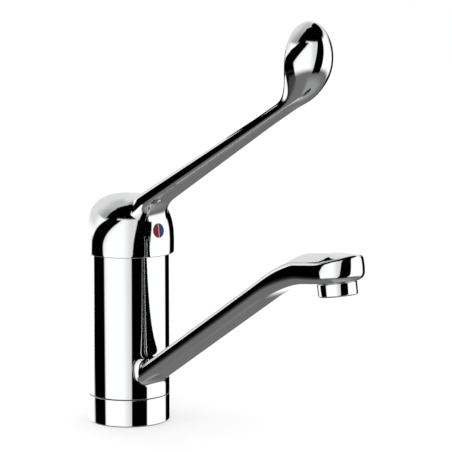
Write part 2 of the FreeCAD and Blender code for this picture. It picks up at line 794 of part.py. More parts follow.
def head_end(body):
    """Half round end of the head, turned about the outlet axis."""
    wide = size("head_half_width")
    tall = size("head_half_height")
    top = size("head_top_round")
    low = size("head_bottom_round")
    sketch = new_sketch(body, "XZ_Plane", "head_end_outline")
    place_sketch(sketch, *OUTLET)
    corners = [(ZERO, -tall), (wide - low, -tall), (wide, low - tall), (wide, tall - top),
               (wide - top, tall), (ZERO, tall)]
    spots = [FreeCAD.Vector(plain(across), plain(up), 0) for across, up in corners]
    normal = FreeCAD.Vector(0, 0, 1)
    low_round = Part.Circle(spots[1] + FreeCAD.Vector(0, plain(low), 0), normal, plain(low))
    top_round = Part.Circle(spots[4] - FreeCAD.Vector(0, plain(top), 0), normal, plain(top))
    sketch.addGeometry(Part.LineSegment(spots[0], spots[1]), False)
    sketch.addGeometry(Part.ArcOfCircle(low_round, -math.pi / 2, 0), False)
    sketch.addGeometry(Part.LineSegment(spots[2], spots[3]), False)
    sketch.addGeometry(Part.ArcOfCircle(top_round, 0, math.pi / 2), False)
    sketch.addGeometry(Part.LineSegment(spots[4], spots[5]), False)
    sketch.addGeometry(Part.LineSegment(spots[5], spots[0]), False)
    for index in range(6):
        following = (index + 1) % 6
        sketch.addConstraint(Sketcher.Constraint("Coincident", index, 2, following, 1))
        pin_point(sketch, index, 1, *corners[index])
    set_rule(sketch, "Radius", 1, low)
    set_rule(sketch, "Radius", 3, top)
    feature = body.newObject("PartDesign::Revolution", "head_end")
    feature.Profile = sketch
    feature.ReferenceAxis = (sketch, ["V_Axis"])
    feature.Midplane = True
    feature.Angle = 180
    body.Tip = feature


def spout_body():
    """Swivel sleeve with the cast spout, its water channel and the outlet nozzle."""
    body = turned("spout_body", ring_points(ZERO, BODY, SLEEVE_BOTTOM, size("sleeve_top_height")))
    loft(body, spout_stations(), "spout_loft")
    head_end(body)
    turned_feature(body, ring_points(ZERO, size("nozzle_radius"), NOZZLE_END, ZERO),
                   "PartDesign::Revolution", "nozzle", OUTLET)
    round_edges(body, root_edges, size("root_round"), "root_fillet")
    round_edges(body, top_sleeve_edge, size("sleeve_edge_round"), "sleeve_edge")
    clear = size("ring_fit")
    groove(body, ring_points(ZERO, SLEEVE_BORE, SLEEVE_BOTTOM - clear, LIP_BOTTOM), "lower_bore")
    groove(body, ring_points(ZERO, SLEEVE_BORE - size("lip_overhang"), LIP_BOTTOM - clear,
                             LIP_TOP + clear), "lip_bore")
    groove(body, ring_points(ZERO, SLEEVE_BORE, LIP_TOP, size("sleeve_top_height") + clear),
           "upper_bore")
    stop_slot(body)
    water_channel(body)
    groove(body, ring_points(ZERO, size("nozzle_bore_radius"), NOZZLE_END - clear,
                             size("channel_half_height")), "nozzle_bore", OUTLET)
    return body


def root_edges(shape):
    """Edges where the spout meets the sleeve: on the sleeve's wall, inside its length."""
    found = []
    for index, edge in enumerate(shape.Edges, start=1):
        middle = edge.CenterOfMass
        ends = [vertex.Point for vertex in edge.Vertexes]
        on_wall = all(abs(math.hypot(end.x, end.y) - plain(BODY)) < 0.01 for end in ends)
        inside = plain(SLEEVE_BOTTOM) + 1 < middle.z < size("sleeve_top_height").number - 1
        if on_wall and inside and middle.x > 5 and edge.Length > 0.5:
            found.append("Edge%d" % index)
    return found


def top_sleeve_edge(shape):
    top = size("sleeve_top_height").number
    return ["Edge%d" % index for index, edge in enumerate(shape.Edges, start=1)
            if abs(edge.CenterOfMass.z - top) < 0.01 and edge.Length > 1]


def round_edges(body, chooser, radius, name):
    doc.recompute()
    last = body.Tip
    feature = body.newObject("PartDesign::Fillet", name)
    feature.Base = (last, chooser(last.Shape))
    bind(feature, "Radius", radius)
    body.Tip = feature


def stop_slot(body):
    """Slot round the back of the sleeve's lower edge: its ends meet the stop pin."""
    depth = CORE + size("stop_pin_stand") + size("stop_slot_room")
    top = size("stop_pin_height") + size("stop_pin_radius") + size("stop_slot_room")
    bottom = SLEEVE_BOTTOM - size("ring_fit")
    sketch = new_sketch(body, "XZ_Plane", "stop_slot_outline")
    polygon(sketch, [(ZERO, bottom), (-depth, bottom), (-depth, top), (ZERO, top)])
    feature = body.newObject("PartDesign::Groove", "stop_slot")
    feature.Profile = sketch
    feature.ReferenceAxis = (sketch, ["V_Axis"])
    feature.Midplane = True
    pin_angle = (size("stop_pin_radius") + size("fit_gap")) / CORE * math.degrees(1)
    bind(feature, "Angle", (size("swivel_half_range") + pin_angle) * 2)
    body.Tip = feature


def water_channel(body):
    """Flat channel along the middle of the spout, from the sleeve's chamber to the outlet."""
    half = size("channel_half_height")
    middles = [(item["forward"], item["height"]) for item in spout_stations()[2:]]
    first = spout_stations()[0]
    rise = size("spout_rise")
    start = SLEEVE_BORE - size("lip_overhang")
    height = first["height"] + (start - first["forward"]) * (sine(rise) / cosine(rise))
    middles.insert(0, (start, height))
    sketch = new_sketch(body, "XZ_Plane", "channel_outline")
    lower = [(across, up - half) for across, up in middles]
    upper = [(across, up + half) for across, up in reversed(middles)]
    polygon(sketch, lower + upper)
    padded(body, sketch, size("channel_half_width") * 2, "water_channel", "PartDesign::Pocket",
           midplane=True)


def aerator():
    """Outlet shell with its rubber washer, plastic insert and fine screen."""
    outer = size("aerator_radius")
    inner = size("nozzle_radius") + size("fit_gap")
    flange = FLANGE_RADIUS
    gap = size("aerator_gap")
    shell = turned("aerator_shell", [
        (inner, HEAD_BOTTOM - gap), (outer, HEAD_BOTTOM - gap), (outer, AERATOR_BOTTOM),
        (size("aerator_lip_radius"), AERATOR_BOTTOM), (size("aerator_lip_radius"), LIP_FLOOR),
        (inner, LIP_FLOOR)], OUTLET)
    washer = turned("aerator_washer", ring_points(size("nozzle_bore_radius"), flange,
                                                  WASHER_BOTTOM, NOZZLE_END), OUTLET)
    insert = turned("aerator_insert", [
        (ZERO, LIP_FLOOR), (flange, LIP_FLOOR), (flange, WASHER_BOTTOM),
        (INSERT_RADIUS, WASHER_BOTTOM), (INSERT_RADIUS, INSERT_TOP), (ZERO, INSERT_TOP)], OUTLET)
    drill_cells(insert)
    screen = turned("aerator_screen", ring_points(ZERO, INSERT_RADIUS, INSERT_TOP,
                                                  INSERT_TOP + size("screen_height")), OUTLET)
    return [shell, washer, insert, screen]


def drill_cells(body):
    """Honeycomb of round cells through the insert, in rings about its middle."""
    sketch = new_sketch(body, "XY_Plane", "cell_outlines")
    reach, height, tilt = OUTLET
    base = FreeCAD.Vector(plain(reach), 0, plain(height))
    turn = FreeCAD.Rotation(FreeCAD.Vector(0, 1, 0), -plain(tilt))
    sketch.AttachmentOffset = FreeCAD.Placement(base, turn)
    sketch.setExpression("AttachmentOffset.Base.x", reach.text)
    sketch.setExpression("AttachmentOffset.Base.z", height.text)
    sketch.setExpression("AttachmentOffset.Rotation.Angle", (-tilt).text)
    pitch = size("insert_cell_pitch")
    circle(sketch, ZERO, ZERO, size("insert_cell_radius"))
    for ring in (1, 2, 3):
        for side in range(6):
            for step in range(ring):
                across, up = cell_place(ring, side, step)
                circle(sketch, pitch * across, pitch * up, size("insert_cell_radius"))
    padded(body, sketch, size("head_half_height") * 4, "cells", "PartDesign::Pocket",
           midplane=True)


def cell_place(ring, side, step):
    """Place of one cell on a hexagonal ring, in pitches."""
    start = math.radians(60 * side)
    along = math.radians(60 * side + 120)
    return (ring * math.cos(start) + step * math.cos(along),
            ring * math.sin(start) + step * math.sin(along))


def arm_stations():
    """Loft stations of the lever: straight tapering arm, then the paddle on a round bend."""
    rise = size("arm_rise")
    slope = sine(rise) / cosine(rise)

    def on_arm(forward, share):
        half_height = mixed(size("arm_root_half_height"), size("arm_end_half_height"), share)
        corner = half_height * size("arm_corner_share")
        return station(forward, size("arm_axis_height") + slope * forward, rise,
                       mixed(size("arm_root_half_width"), size("arm_end_half_width"), share),
                       half_height, corner, corner)

    root = size("arm_root_forward")
    end = size("arm_end_forward")
    shares = [step / ARM_STEPS for step in range(ARM_STEPS + 1)]
    stations = [on_arm(mixed(root, end, share), share) for share in shares]
    return stations + paddle_stations(slope)


def paddle_stations(slope):
    """Spoon at the end: its path is an arc, its width follows a leaf outline."""
    rise = size("arm_rise")
    start = size("paddle_bend_forward")
    start_height = size("arm_axis_height") + slope * start
    radius = size("paddle_bend_radius")
    tip_angle = size("paddle_tip_rise")
    widest = size("paddle_widest_share").number
    stations = []
    for share in PADDLE_SHARES:
        angle = rise + (tip_angle - rise) * share
        forward = start + radius * (sine(angle) - sine(rise))
        height = start_height + radius * (cosine(rise) - cosine(angle))
        if share < widest:
            swell = math.sin(math.pi / 2 * share / widest) ** 2
            wide = mixed(size("arm_end_half_width"), size("paddle_half_width"), swell)
            tall = mixed(size("arm_end_half_height"), size("paddle_half_height"), swell)
        else:
            drop = math.sqrt(1 - ((share - widest) / (1 - widest)) ** 2)
            wide = size("paddle_half_width") * drop
            tall = size("paddle_half_height") * math.sqrt(drop)
        corner = tall * size("paddle_corner_share")
        stations.append(station(forward, height, angle, wide, tall, corner, corner))
    return stations


def lever():
    """Cast lever: domed cap with its skirt, inner boss, arm and spoon shaped paddle."""
    body = new_body("lever")
    forward = size("cap_forward")
    skirt = new_sketch(body, "XY_Plane", "skirt_outline")
    bind_offset(skirt, RIM)
    circle(skirt, forward, ZERO, size("cap_radius"))
    padded(body, skirt, size("dome_base_height") - RIM, "skirt")
    dome = body.newObject("PartDesign::AdditiveEllipsoid", "dome")
    dome.AttachmentSupport = (plane(body, "XY_Plane"), [""])
    dome.MapMode = "FlatFace"
    dome.setExpression("AttachmentOffset.Base.x", forward.text)
    dome.setExpression("AttachmentOffset.Base.z", size("dome_base_height").text)
    bind(dome, "Radius1", size("dome_rise"))
    bind(dome, "Radius2", size("cap_radius"))
    bind(dome, "Radius3", size("cap_radius"))
    dome.Angle1 = 0
    body.Tip = dome
    loft(body, arm_stations(), "arm")
    round_edges(body, blend_edges, size("arm_blend_round"), "arm_blend")
    round_edges(body, rim_edge, size("rim_round"), "rim_round")
    boss = size("boss_radius")
    below = RIM - size("ring_fit")
    groove(body, [
        (ZERO, below), (CAP_BORE, below), (CAP_BORE, size("bore_top_height")),
        (size("roof_middle_radius"), size("roof_middle_height")),
        (boss, size("roof_top_height")), (boss, size("boss_bottom_height")),
        (ZERO, size("boss_bottom_height"))], "cap_hollow")
    socket = new_sketch(body, "XY_Plane", "socket_outline")
    bind_offset(socket, size("boss_bottom_height"))
    half = size("stem_side") / 2 + size("fit_gap")
    polygon(socket, [(-half, -half), (half, -half), (half, half), (-half, half)])
    depth = size("stem_top_height") + size("socket_top_gap") - size("boss_bottom_height")
    padded(body, socket, depth, "stem_socket", "PartDesign::Pocket", reverse=True)
    height = size("index_height")
    front = size("cap_forward") + size("cap_radius")
    drilled(body, "YZ_Plane", [(ZERO, height)], size("screw_radius"), size("stem_side") / 2,
            front, "screw_hole")
    drilled(body, "YZ_Plane", [(ZERO, height)], size("index_radius") + size("index_room"),
            front - size("index_depth"), size("index_depth") * 2, "index_recess")
    return body


def blend_edges(shape):
    """Edges where the arm leaves the dome."""
    found = []
    forward = size("cap_forward").number
    radius = size("cap_radius").number
    base = size("dome_base_height").number
    rise = size("dome_rise").number
    for index, edge in enumerate(shape.Edges, start=1):
        if edge.Degenerated or edge.Length < 0.5:
            continue
        spots = edge.discretize(5)
        flat = [((spot.x - forward) ** 2 + spot.y ** 2) / radius ** 2
                + (max(spot.z - base, 0) / rise) ** 2 for spot in spots]
        lowest = min(spot.z for spot in spots)
        on_dome = all(abs(value - 1) < 0.01 for value in flat)
        if on_dome and lowest > base + 0.5 and min(spot.x for spot in spots) > 5:
            found.append("Edge%d" % index)
    return found


def rim_edge(shape):
    return ["Edge%d" % index for index, edge in enumerate(shape.Edges, start=1)
            if abs(edge.CenterOfMass.z - RIM.number) < 0.01]


def index_marker():
    """Plug in the front of the cap with a hot and a cold half; it hides the grub screw."""
    height = size("index_height")
    front = size("cap_forward") + size("cap_radius")
    back = front - size("index_depth")
    thick = size("index_depth") + size("index_stand")
    plug = new_body("index_plug")
    disc = new_sketch(plug, "YZ_Plane", "disc_outline")
    bind_offset(disc, back)
    circle(disc, ZERO, height, size("index_radius"))
    padded(plug, disc, thick, "disc")
    shank = new_sketch(plug, "YZ_Plane", "shank_outline")
    bind_offset(shank, back)
    circle(shank, ZERO, height, size("index_shank_radius"))
    padded(plug, shank, size("index_shank_length"), "shank", reverse=True)
    tiles = []
    for label, side in (("index_hot_half", -1), ("index_cold_half", 1)):
        pocket = half_disc(plug, label + "_seat", side, front, thick)
        padded(plug, pocket, size("index_tile"), label + "_pocket", "PartDesign::Pocket")
        tile = new_body(label)
        outline = half_disc(tile, "tile_outline", side, front, thick)
        padded(tile, outline, size("index_tile"), "tile", reverse=True)
        tiles.append(tile)
    return [plug] + tiles


def half_disc(body, name, side, front, thick):
    """Half round outline beside the middle rib of the marker, on the plug's front face."""
    sketch = new_sketch(body, "YZ_Plane", name)
    bind_offset(sketch, front + thick - size("index_depth"))
    radius = size("index_radius") - size("index_room") * 3
    rib = size("index_rib") / 2
    height = size("index_height").number
    reach = math.sqrt(radius.number ** 2 - rib.number ** 2)
    turn = math.atan2(reach, rib.number)
    start = -turn if side > 0 else math.pi - turn
    round_edge = Part.Circle(FreeCAD.Vector(0, height, 0), FreeCAD.Vector(0, 0, 1), radius.number)
    sketch.addGeometry(Part.ArcOfCircle(round_edge, start, start + 2 * turn), False)
    ends = [FreeCAD.Vector(side * rib.number, height + side * reach * way, 0) for way in (1, -1)]
    sketch.addGeometry(Part.LineSegment(ends[0], ends[1]), False)
    sketch.addConstraint(Sketcher.Constraint("Coincident", 0, 2, 1, 1))
    sketch.addConstraint(Sketcher.Constraint("Coincident", 1, 2, 0, 1))
    pin_point(sketch, 0, 3, ZERO, size("index_height"))
    set_rule(sketch, "Radius", 0, radius)
    sketch.addConstraint(Sketcher.Constraint("Vertical", 1))
    index = sketch.addConstraint(Sketcher.Constraint("DistanceX", -1, 1, 1, 1, side * rib.number))
    sketch.setExpression("Constraints[%d]" % index, (rib * side).text)
    return sketch


def grub_screw():
    """Socket grub screw that clamps the lever to its stem."""
    body = new_body("lever_grub_screw")
    height = size("index_height")
    start = size("stem_side") / 2
    rod = new_sketch(body, "YZ_Plane", "rod_outline")
    bind_offset(rod, start)
    circle(rod, ZERO, height, size("screw_radius") - size("fit_gap"))
    padded(body, rod, size("screw_length"), "rod")
    key = new_sketch(body, "YZ_Plane", "key_outline")
    bind_offset(key, start + size("screw_length"))
    corner = size("screw_socket_radius")
    points = [(corner * math.cos(math.radians(60 * turn)),
               height + corner * math.sin(math.radians(60 * turn))) for turn in range(6)]
    polygon(key, points)
    padded(body, key, size("screw_socket_depth"), "key_socket", "PartDesign::Pocket")
    return body


def check(obj):
    for state in obj.State:
        if state in ("Invalid", "Error"):
            raise RuntimeError("%s is %s" % (obj.Name, state))


def export(pieces):
    for obj in doc.Objects:
        check(obj)
    os.makedirs("parts", exist_ok=True)
    for piece in pieces:
        shape = piece.Shape
        if shape.isNull() or not shape.isValid() or not shape.Solids:
            raise RuntimeError("%s has no valid solid" % piece.Label)
        shape.exportStep("parts/%s.step" % piece.Label)
        print("%-24s solids %2d volume %10.1f" % (piece.Label, len(shape.Solids), shape.Volume))


def main():
    pieces = [base_ring(), base_gasket(), inner_body()]
    pieces += swivel_rings()
    pieces += [cartridge_base(), port_seals(), fixed_disc(), cartridge_housing(),
               cartridge_nut(), cartridge_shroud()]
    pieces += [moving_disc(), disc_carrier(), cartridge_rotor(), pivot_pin()]
    pieces += [spout_body()] + aerator()
    pieces += [stem(), lever(), grub_screw()] + index_marker()
    doc.recompute()
    export(pieces)


main()
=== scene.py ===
import math

import bmesh
import bpy
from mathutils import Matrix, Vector


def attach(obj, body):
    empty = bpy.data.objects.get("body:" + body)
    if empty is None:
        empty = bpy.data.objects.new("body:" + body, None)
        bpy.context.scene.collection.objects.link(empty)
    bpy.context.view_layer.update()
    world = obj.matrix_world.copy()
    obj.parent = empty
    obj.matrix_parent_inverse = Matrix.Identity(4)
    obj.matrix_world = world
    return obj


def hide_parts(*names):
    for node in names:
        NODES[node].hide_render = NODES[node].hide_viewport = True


bl_info = {
    "name": "Sink Tap",
    "version": (1, 0, 0),
    "blender": (4, 5, 0),
    "location": "3D View > Sidebar > Sink Tap",
    "description": "Builds a chromed single lever sink tap around its packed parts",
    "category": "Object",
}

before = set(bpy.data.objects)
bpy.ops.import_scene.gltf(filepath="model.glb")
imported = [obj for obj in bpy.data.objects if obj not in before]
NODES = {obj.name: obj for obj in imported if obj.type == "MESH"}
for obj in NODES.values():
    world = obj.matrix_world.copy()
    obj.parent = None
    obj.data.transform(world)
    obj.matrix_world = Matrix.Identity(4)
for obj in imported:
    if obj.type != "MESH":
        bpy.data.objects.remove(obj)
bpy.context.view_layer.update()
MM = 0.001

# The photograph's viewpoint, found from the column's edges and the rim ellipses.
CAMERA_PLACE = Vector((0.9802, -0.8571, 0.32175))
CAMERA_LOOK = Vector((-0.7115, 0.6872, -0.1464))
CAMERA_LENS = 159.29
CAMERA_SENSOR = 36.0
CAMERA_REACH = 20.0
VIEW_TURN = math.radians(41.2)

# One wide soft lamp, in metres and watts.
LAMP_PLACE = Vector((0.6, -1.4, 1.6))
LAMP_AIM = Vector((0.0, 0.0, 0.1))
LAMP_WIDTH = 1.2
LAMP_POWER = 4.0

# The floor's paleness and the light that the camera adds to it come to this level.
FLOOR_LEVEL = 1.12
WHITE = (1.0, 1.0, 1.0, 1.0)
BLACK = (0.0, 0.0, 0.0, 1.0)

# Black card that stands above the arm and is mirrored in the paddle, in metres.
CARD_MIDDLE = Vector((0.075, 0.01, 0.236))
CARD_WIDE = 0.13
CARD_TALL = 0.062

# Cards of the studio that the plating mirrors: name, left and right edge, bottom and top edge,
# side and end softness in degrees, brightness, then how far the sides lean per degree of
# height. Angles are seen from the tap, 0 is the camera's side and right is positive. Later
# cards lie over earlier ones.
STUDIO_CARDS = (
    ("floor haze", -200, 200, -100, -27, 1, 7, 0.15, 0),
    ("floor front", -25, 160, -100, -52, 12, 14, 0.30, 0),
    ("back veil left", -200, -98, 5, 100, 14, 8, 0.70, 0),
    ("back veil right", 120, 200, 6, 100, 8, 8, 0.74, 0),
    ("side veil", -106, -30, 26, 100, 24, 3, 0.33, 0),
    ("high veil left", -200, -30, 54, 100, 8, 14, 0.48, 0),
    ("high veil right", 136, 200, 50, 100, 8, 14, 0.53, 0),
    ("front shade", -6, 30, -27, 60, 14, 8, 0.68, 0),
    ("left shade", -80, -52, -27, 34, 8, 4, 0.84, 1.2),
    ("left low fade", -111, -70, -36, -12, 2, 12, 0.0, 0),
    ("left low flag", -111, -71, -22, -6, 2, 4, 0.0, 0),
    ("left leaning flag", -100, -61, -14, 32.5, 2, 2, 0.0, 1.2),
    ("left high flag", -76, -40, 30, 100, 2, 2, 0.0, 0.1),
    ("front top flag", -64, 40, 36, 100, 2, 3, 0.0, 0.4),
    ("right flag", 12.9, 57.4, -38, 100, 1.5, 4, 0.0, 0.4),
    ("right sky", 50, 160, 36, 100, 3, 5, 0.0, 0),
    ("far right flag", 126, 168, -30, 14, 3, 5, 0.0, 0),
    ("top flag", -78, 136, 64, 100, 6, 4, 0.0, 0),
)


# Settings that a user would change

class SinkTapSizes(bpy.types.PropertyGroup):
    """Heights of the column's turned pieces, and the marker's size."""

    foot_height: bpy.props.FloatProperty(
        name="Foot height", description="Top of the foot ring", unit="LENGTH",
        min=0.002, default=0.018)
    seam_gap: bpy.props.FloatProperty(
        name="Seam", description="Gap between the foot ring and the sleeve", unit="LENGTH",
        min=0.0, default=0.0004)
    sleeve_top: bpy.props.FloatProperty(
        name="Sleeve top", description="Top of the swivel sleeve, under the cap", unit="LENGTH",
        min=0.03, default=0.114)
    marker_radius: bpy.props.FloatProperty(
        name="Marker radius", description="Radius of the round marker", unit="LENGTH",
        min=0.001, max=0.012, default=0.00475)
    marker_height: bpy.props.FloatProperty(
        name="Marker height", description="Height of the marker's middle", unit="LENGTH",
        min=0.12, max=0.145, default=0.1295)


class SinkTapFinish(bpy.types.PropertyGroup):
    """Colours and gloss of the tap's finishes."""

    chrome_colour: bpy.props.FloatVectorProperty(
        name="Chrome", description="Colour of the bright plating", subtype="COLOR",
        size=3, min=0.0, max=1.0, default=(0.86, 0.865, 0.872))
    chrome_roughness: bpy.props.FloatProperty(
        name="Chrome roughness", description="How far the plating blurs what it mirrors",
        subtype="FACTOR", min=0.0, max=1.0, default=0.035)
    hot_colour: bpy.props.FloatVectorProperty(
        name="Hot mark", description="Colour of the marker's hot half", subtype="COLOR",
        size=3, min=0.0, max=1.0, default=(0.27, 0.006, 0.018))
    cold_colour: bpy.props.FloatVectorProperty(
        name="Cold mark", description="Colour of the marker's cold half", subtype="COLOR",
        size=3, min=0.0, max=1.0, default=(0.012, 0.06, 0.19))


class SinkTapStage(bpy.types.PropertyGroup):
    """Floor and light."""

    floor_size: bpy.props.FloatProperty(
        name="Floor size", description="Side of the square floor", unit="LENGTH",
        min=0.5, default=6.0)
    floor_albedo: bpy.props.FloatProperty(
        name="Floor paleness", description="Share of light that the floor gives back",
        subtype="FACTOR", min=0.0, max=1.0, default=0.72)
    mirror_level: bpy.props.FloatProperty(
        name="Mirrored light", description="Brightness of the white cards in the plating",
        min=0.0, default=1.16)
    room_level: bpy.props.FloatProperty(
        name="Room light", description="Even light from all round", min=0.0, default=0.9)


# Shader helpers

# Inputs of a Mix node by place, as several share a name, then its outputs.
MIX_FACTOR = 0
MIX_NUMBER_A = 2
MIX_NUMBER_B = 3
MIX_COLOUR_A = 6
MIX_COLOUR_B = 7
MIX_NUMBER = 0
MIX_COLOUR = 2


def add(tree, kind, x, y, **settings):
    """New shader node at a place in the tree, with its settings."""
    made = tree.nodes.new(kind)
    made.location = (x, y)
    for key, value in settings.items():
        setattr(made, key, value)
    return made


def feed(tree, socket, value):
    """Put a plain number on an input, or link another node's output to it."""
    if isinstance(value, (int, float)):
        socket.default_value = value
    else:
        tree.links.new(value, socket)


def maths(tree, operation, first, second=None, x=0, y=0, clamp=False):
    """Result of one Math node."""
    made = add(tree, "ShaderNodeMath", x, y, operation=operation, use_clamp=clamp)
    feed(tree, made.inputs[0], first)
    if second is not None:
        feed(tree, made.inputs[1], second)
    return made.outputs[0]


def smooth_step(tree, value, low, high, x, y):
    """Smooth rise from 0 to 1 between two limits."""
    made = add(tree, "ShaderNodeMapRange", x, y, interpolation_type="SMOOTHSTEP")
    for name, source in (("Value", value), ("From Min", low), ("From Max", high)):
        feed(tree, made.inputs[name], source)
    return made.outputs["Result"]


def new_group(name, inputs, outputs):
    """Empty node group with its sockets, its start and its end."""
    group = bpy.data.node_groups.new(name, "ShaderNodeTree")
    for direction, sockets in (("INPUT", inputs), ("OUTPUT", outputs)):
        for label, kind, value in sockets:
            socket = group.interface.new_socket(name=label, in_out=direction,
                                                socket_type="NodeSocket" + kind)
            if value is not None:
                socket.default_value = value
    return (group, add(group, "NodeGroupInput", -900, 0), add(group, "NodeGroupOutput", 900, 0))


def place_group(tree, group, x, y, **values):
    """Group placed in a tree, with a value or a link on each named input."""
    made = add(tree, "ShaderNodeGroup", x, y, node_tree=group)
    for name, value in values.items():
        feed(tree, made.inputs[name.replace("_", " ")], value)
    return made


def card_group():
    """Mask of one soft edged card of the studio."""
    group, start, end = new_group(
        "studio card",
        [("Azimuth", "Float", 0), ("Elevation", "Float", 0), ("Left", "Float", -10),
         ("Right", "Float", 10), ("Bottom", "Float", -10), ("Top", "Float", 10),
         ("Side Softness", "Float", 2), ("End Softness", "Float", 2), ("Lean", "Float", 0)],
        [("Mask", "Float", None)])
    lean = maths(group, "MULTIPLY", start.outputs["Elevation"], start.outputs["Lean"], -750, 500)
    around = maths(group, "SUBTRACT", start.outputs["Azimuth"], lean, -600, 500)
    sides = []
    for row, (angle, low, high, soft) in enumerate((
            (around, "Left", "Right", "Side Softness"),
            (start.outputs["Elevation"], "Bottom", "Top", "End Softness"))):
        for column, edge in enumerate((low, high)):
            y = 400 - 400 * row - 200 * column
            begin = maths(group, "SUBTRACT", start.outputs[edge], start.outputs[soft], -600, y)
            finish = maths(group, "ADD", start.outputs[edge], start.outputs[soft], -600, y - 60)
            step = smooth_step(group, angle, begin, finish, -300, y)
            sides.append(step if edge == low else maths(group, "SUBTRACT", 1.0, step, 0, y))
    across = maths(group, "MULTIPLY", sides[0], sides[1], 300, 300)
    upright = maths(group, "MULTIPLY", sides[2], sides[3], 300, -100)
    both = maths(group, "MULTIPLY", across, upright, 600, 100)
    group.links.new(both, end.inputs["Mask"])
    return group


def studio_light(tree):
    """Brightness of the studio in each direction, as the plating mirrors it."""
    place = add(tree, "ShaderNodeTexCoord", -2200, 0)
    turn = add(tree, "ShaderNodeVectorRotate", -2000, 0, rotation_type="Z_AXIS")
    turn.inputs["Angle"].default_value = VIEW_TURN
    tree.links.new(place.outputs["Generated"], turn.inputs["Vector"])
    split = add(tree, "ShaderNodeSeparateXYZ", -1800, 0)
    tree.links.new(turn.outputs["Vector"], split.inputs["Vector"])
    around = maths(tree, "ARCTAN2", split.outputs["Y"], split.outputs["X"], -1600, 100)
    azimuth = maths(tree, "DEGREES", around, None, -1400, 100)
    upward = maths(tree, "ARCSINE", split.outputs["Z"], None, -1600, -100)
    elevation = maths(tree, "DEGREES", upward, None, -1400, -100)
    group = card_group()
    light = 1.0
    for index, card in enumerate(STUDIO_CARDS):
        label, left, right, bottom, top, side, ends, bright, lean = card
        x = -1200 + 200 * index
        mask = place_group(tree, group, x, -300, Azimuth=azimuth, Elevation=elevation,
                           Left=left, Right=right, Bottom=bottom, Top=top,
                           Side_Softness=side, End_Softness=ends, Lean=lean)
        mask.label = label
        mix = add(tree, "ShaderNodeMix", x, 200, data_type="FLOAT")
        feed(tree, mix.inputs[MIX_FACTOR], mask.outputs["Mask"])
        feed(tree, mix.inputs[MIX_NUMBER_A], light)
        feed(tree, mix.inputs[MIX_NUMBER_B], bright)
        light = mix.outputs[MIX_NUMBER]
    return light


# Finishes

# Two noises multiplied vary about this value.
NOISE_MIDDLE = 0.25
TURNING_PITCH = 4000.0


def surface_group():
    """Fine variation of a hard surface: its roughness, its tone and its height."""
    group, start, end = new_group(
        "surface detail",
        [("Vector", "Vector", None), ("Coarse Scale", "Float", 60), ("Fine Scale", "Float", 900),
         ("Roughness", "Float", 0.3), ("Roughness Spread", "Float", 0.1),
         ("Tone Spread", "Float", 0.1), ("Ripple", "Float", 0.5)],
        [("Roughness", "Float", None), ("Tone", "Float", None), ("Height", "Float", None)])
    coarse = add(group, "ShaderNodeTexNoise", -600, 300)
    coarse.inputs["Detail"].default_value = 3.0
    fine = add(group, "ShaderNodeTexNoise", -600, -100)
    fine.inputs["Detail"].default_value = 5.0
    for noise, scale in ((coarse, "Coarse Scale"), (fine, "Fine Scale")):
        group.links.new(start.outputs["Vector"], noise.inputs["Vector"])
        group.links.new(start.outputs[scale], noise.inputs["Scale"])
    both = maths(group, "MULTIPLY", coarse.outputs["Fac"], fine.outputs["Fac"], -300, 200)
    shift = maths(group, "SUBTRACT", both, NOISE_MIDDLE, -100, 200)
    spread = maths(group, "MULTIPLY", shift, start.outputs["Roughness Spread"], 100, 200)
    rough = maths(group, "ADD", spread, start.outputs["Roughness"], 300, 200, clamp=True)
    tone_shift = maths(group, "MULTIPLY", shift, start.outputs["Tone Spread"], 100, 0)
    tone = maths(group, "ADD", tone_shift, 1.0, 300, 0)
    height = maths(group, "MULTIPLY", coarse.outputs["Fac"], start.outputs["Ripple"], -100, -200)
    total = maths(group, "ADD", height, fine.outputs["Fac"], 300, -200)
    for name, result in (("Roughness", rough), ("Tone", tone), ("Height", total)):
        group.links.new(result, end.inputs[name])
    return group


def lathe_group():
    """Fine turning marks round the upright axis, as a height."""
    group, start, end = new_group(
        "turning marks", [("Vector", "Vector", None), ("Pitch Scale", "Float", 900)],
        [("Height", "Float", None)])
    split = add(group, "ShaderNodeSeparateXYZ", -600, 0)
    group.links.new(start.outputs["Vector"], split.inputs["Vector"])
    wide = maths(group, "MULTIPLY", split.outputs["X"], split.outputs["X"], -400, 100)
    deep = maths(group, "MULTIPLY", split.outputs["Y"], split.outputs["Y"], -400, 0)
    reach = maths(group, "SQRT", maths(group, "ADD", wide, deep, -200, 50), None, 0, 50)
    along = maths(group, "ADD", reach, split.outputs["Z"], 150, 0)
    scaled = maths(group, "MULTIPLY", along, start.outputs["Pitch Scale"], 300, 0)
    noise = add(group, "ShaderNodeTexNoise", 500, 0, noise_dimensions="1D")
    noise.inputs["Scale"].default_value = 1.0
    group.links.new(scaled, noise.inputs["W"])
    group.links.new(noise.outputs["Fac"], end.inputs["Height"])
    return group


GROUPS = {}


def shared(name, maker):
    """Node group that is built once and then used again."""
    if name not in GROUPS:
        GROUPS[name] = maker()
    return GROUPS[name]


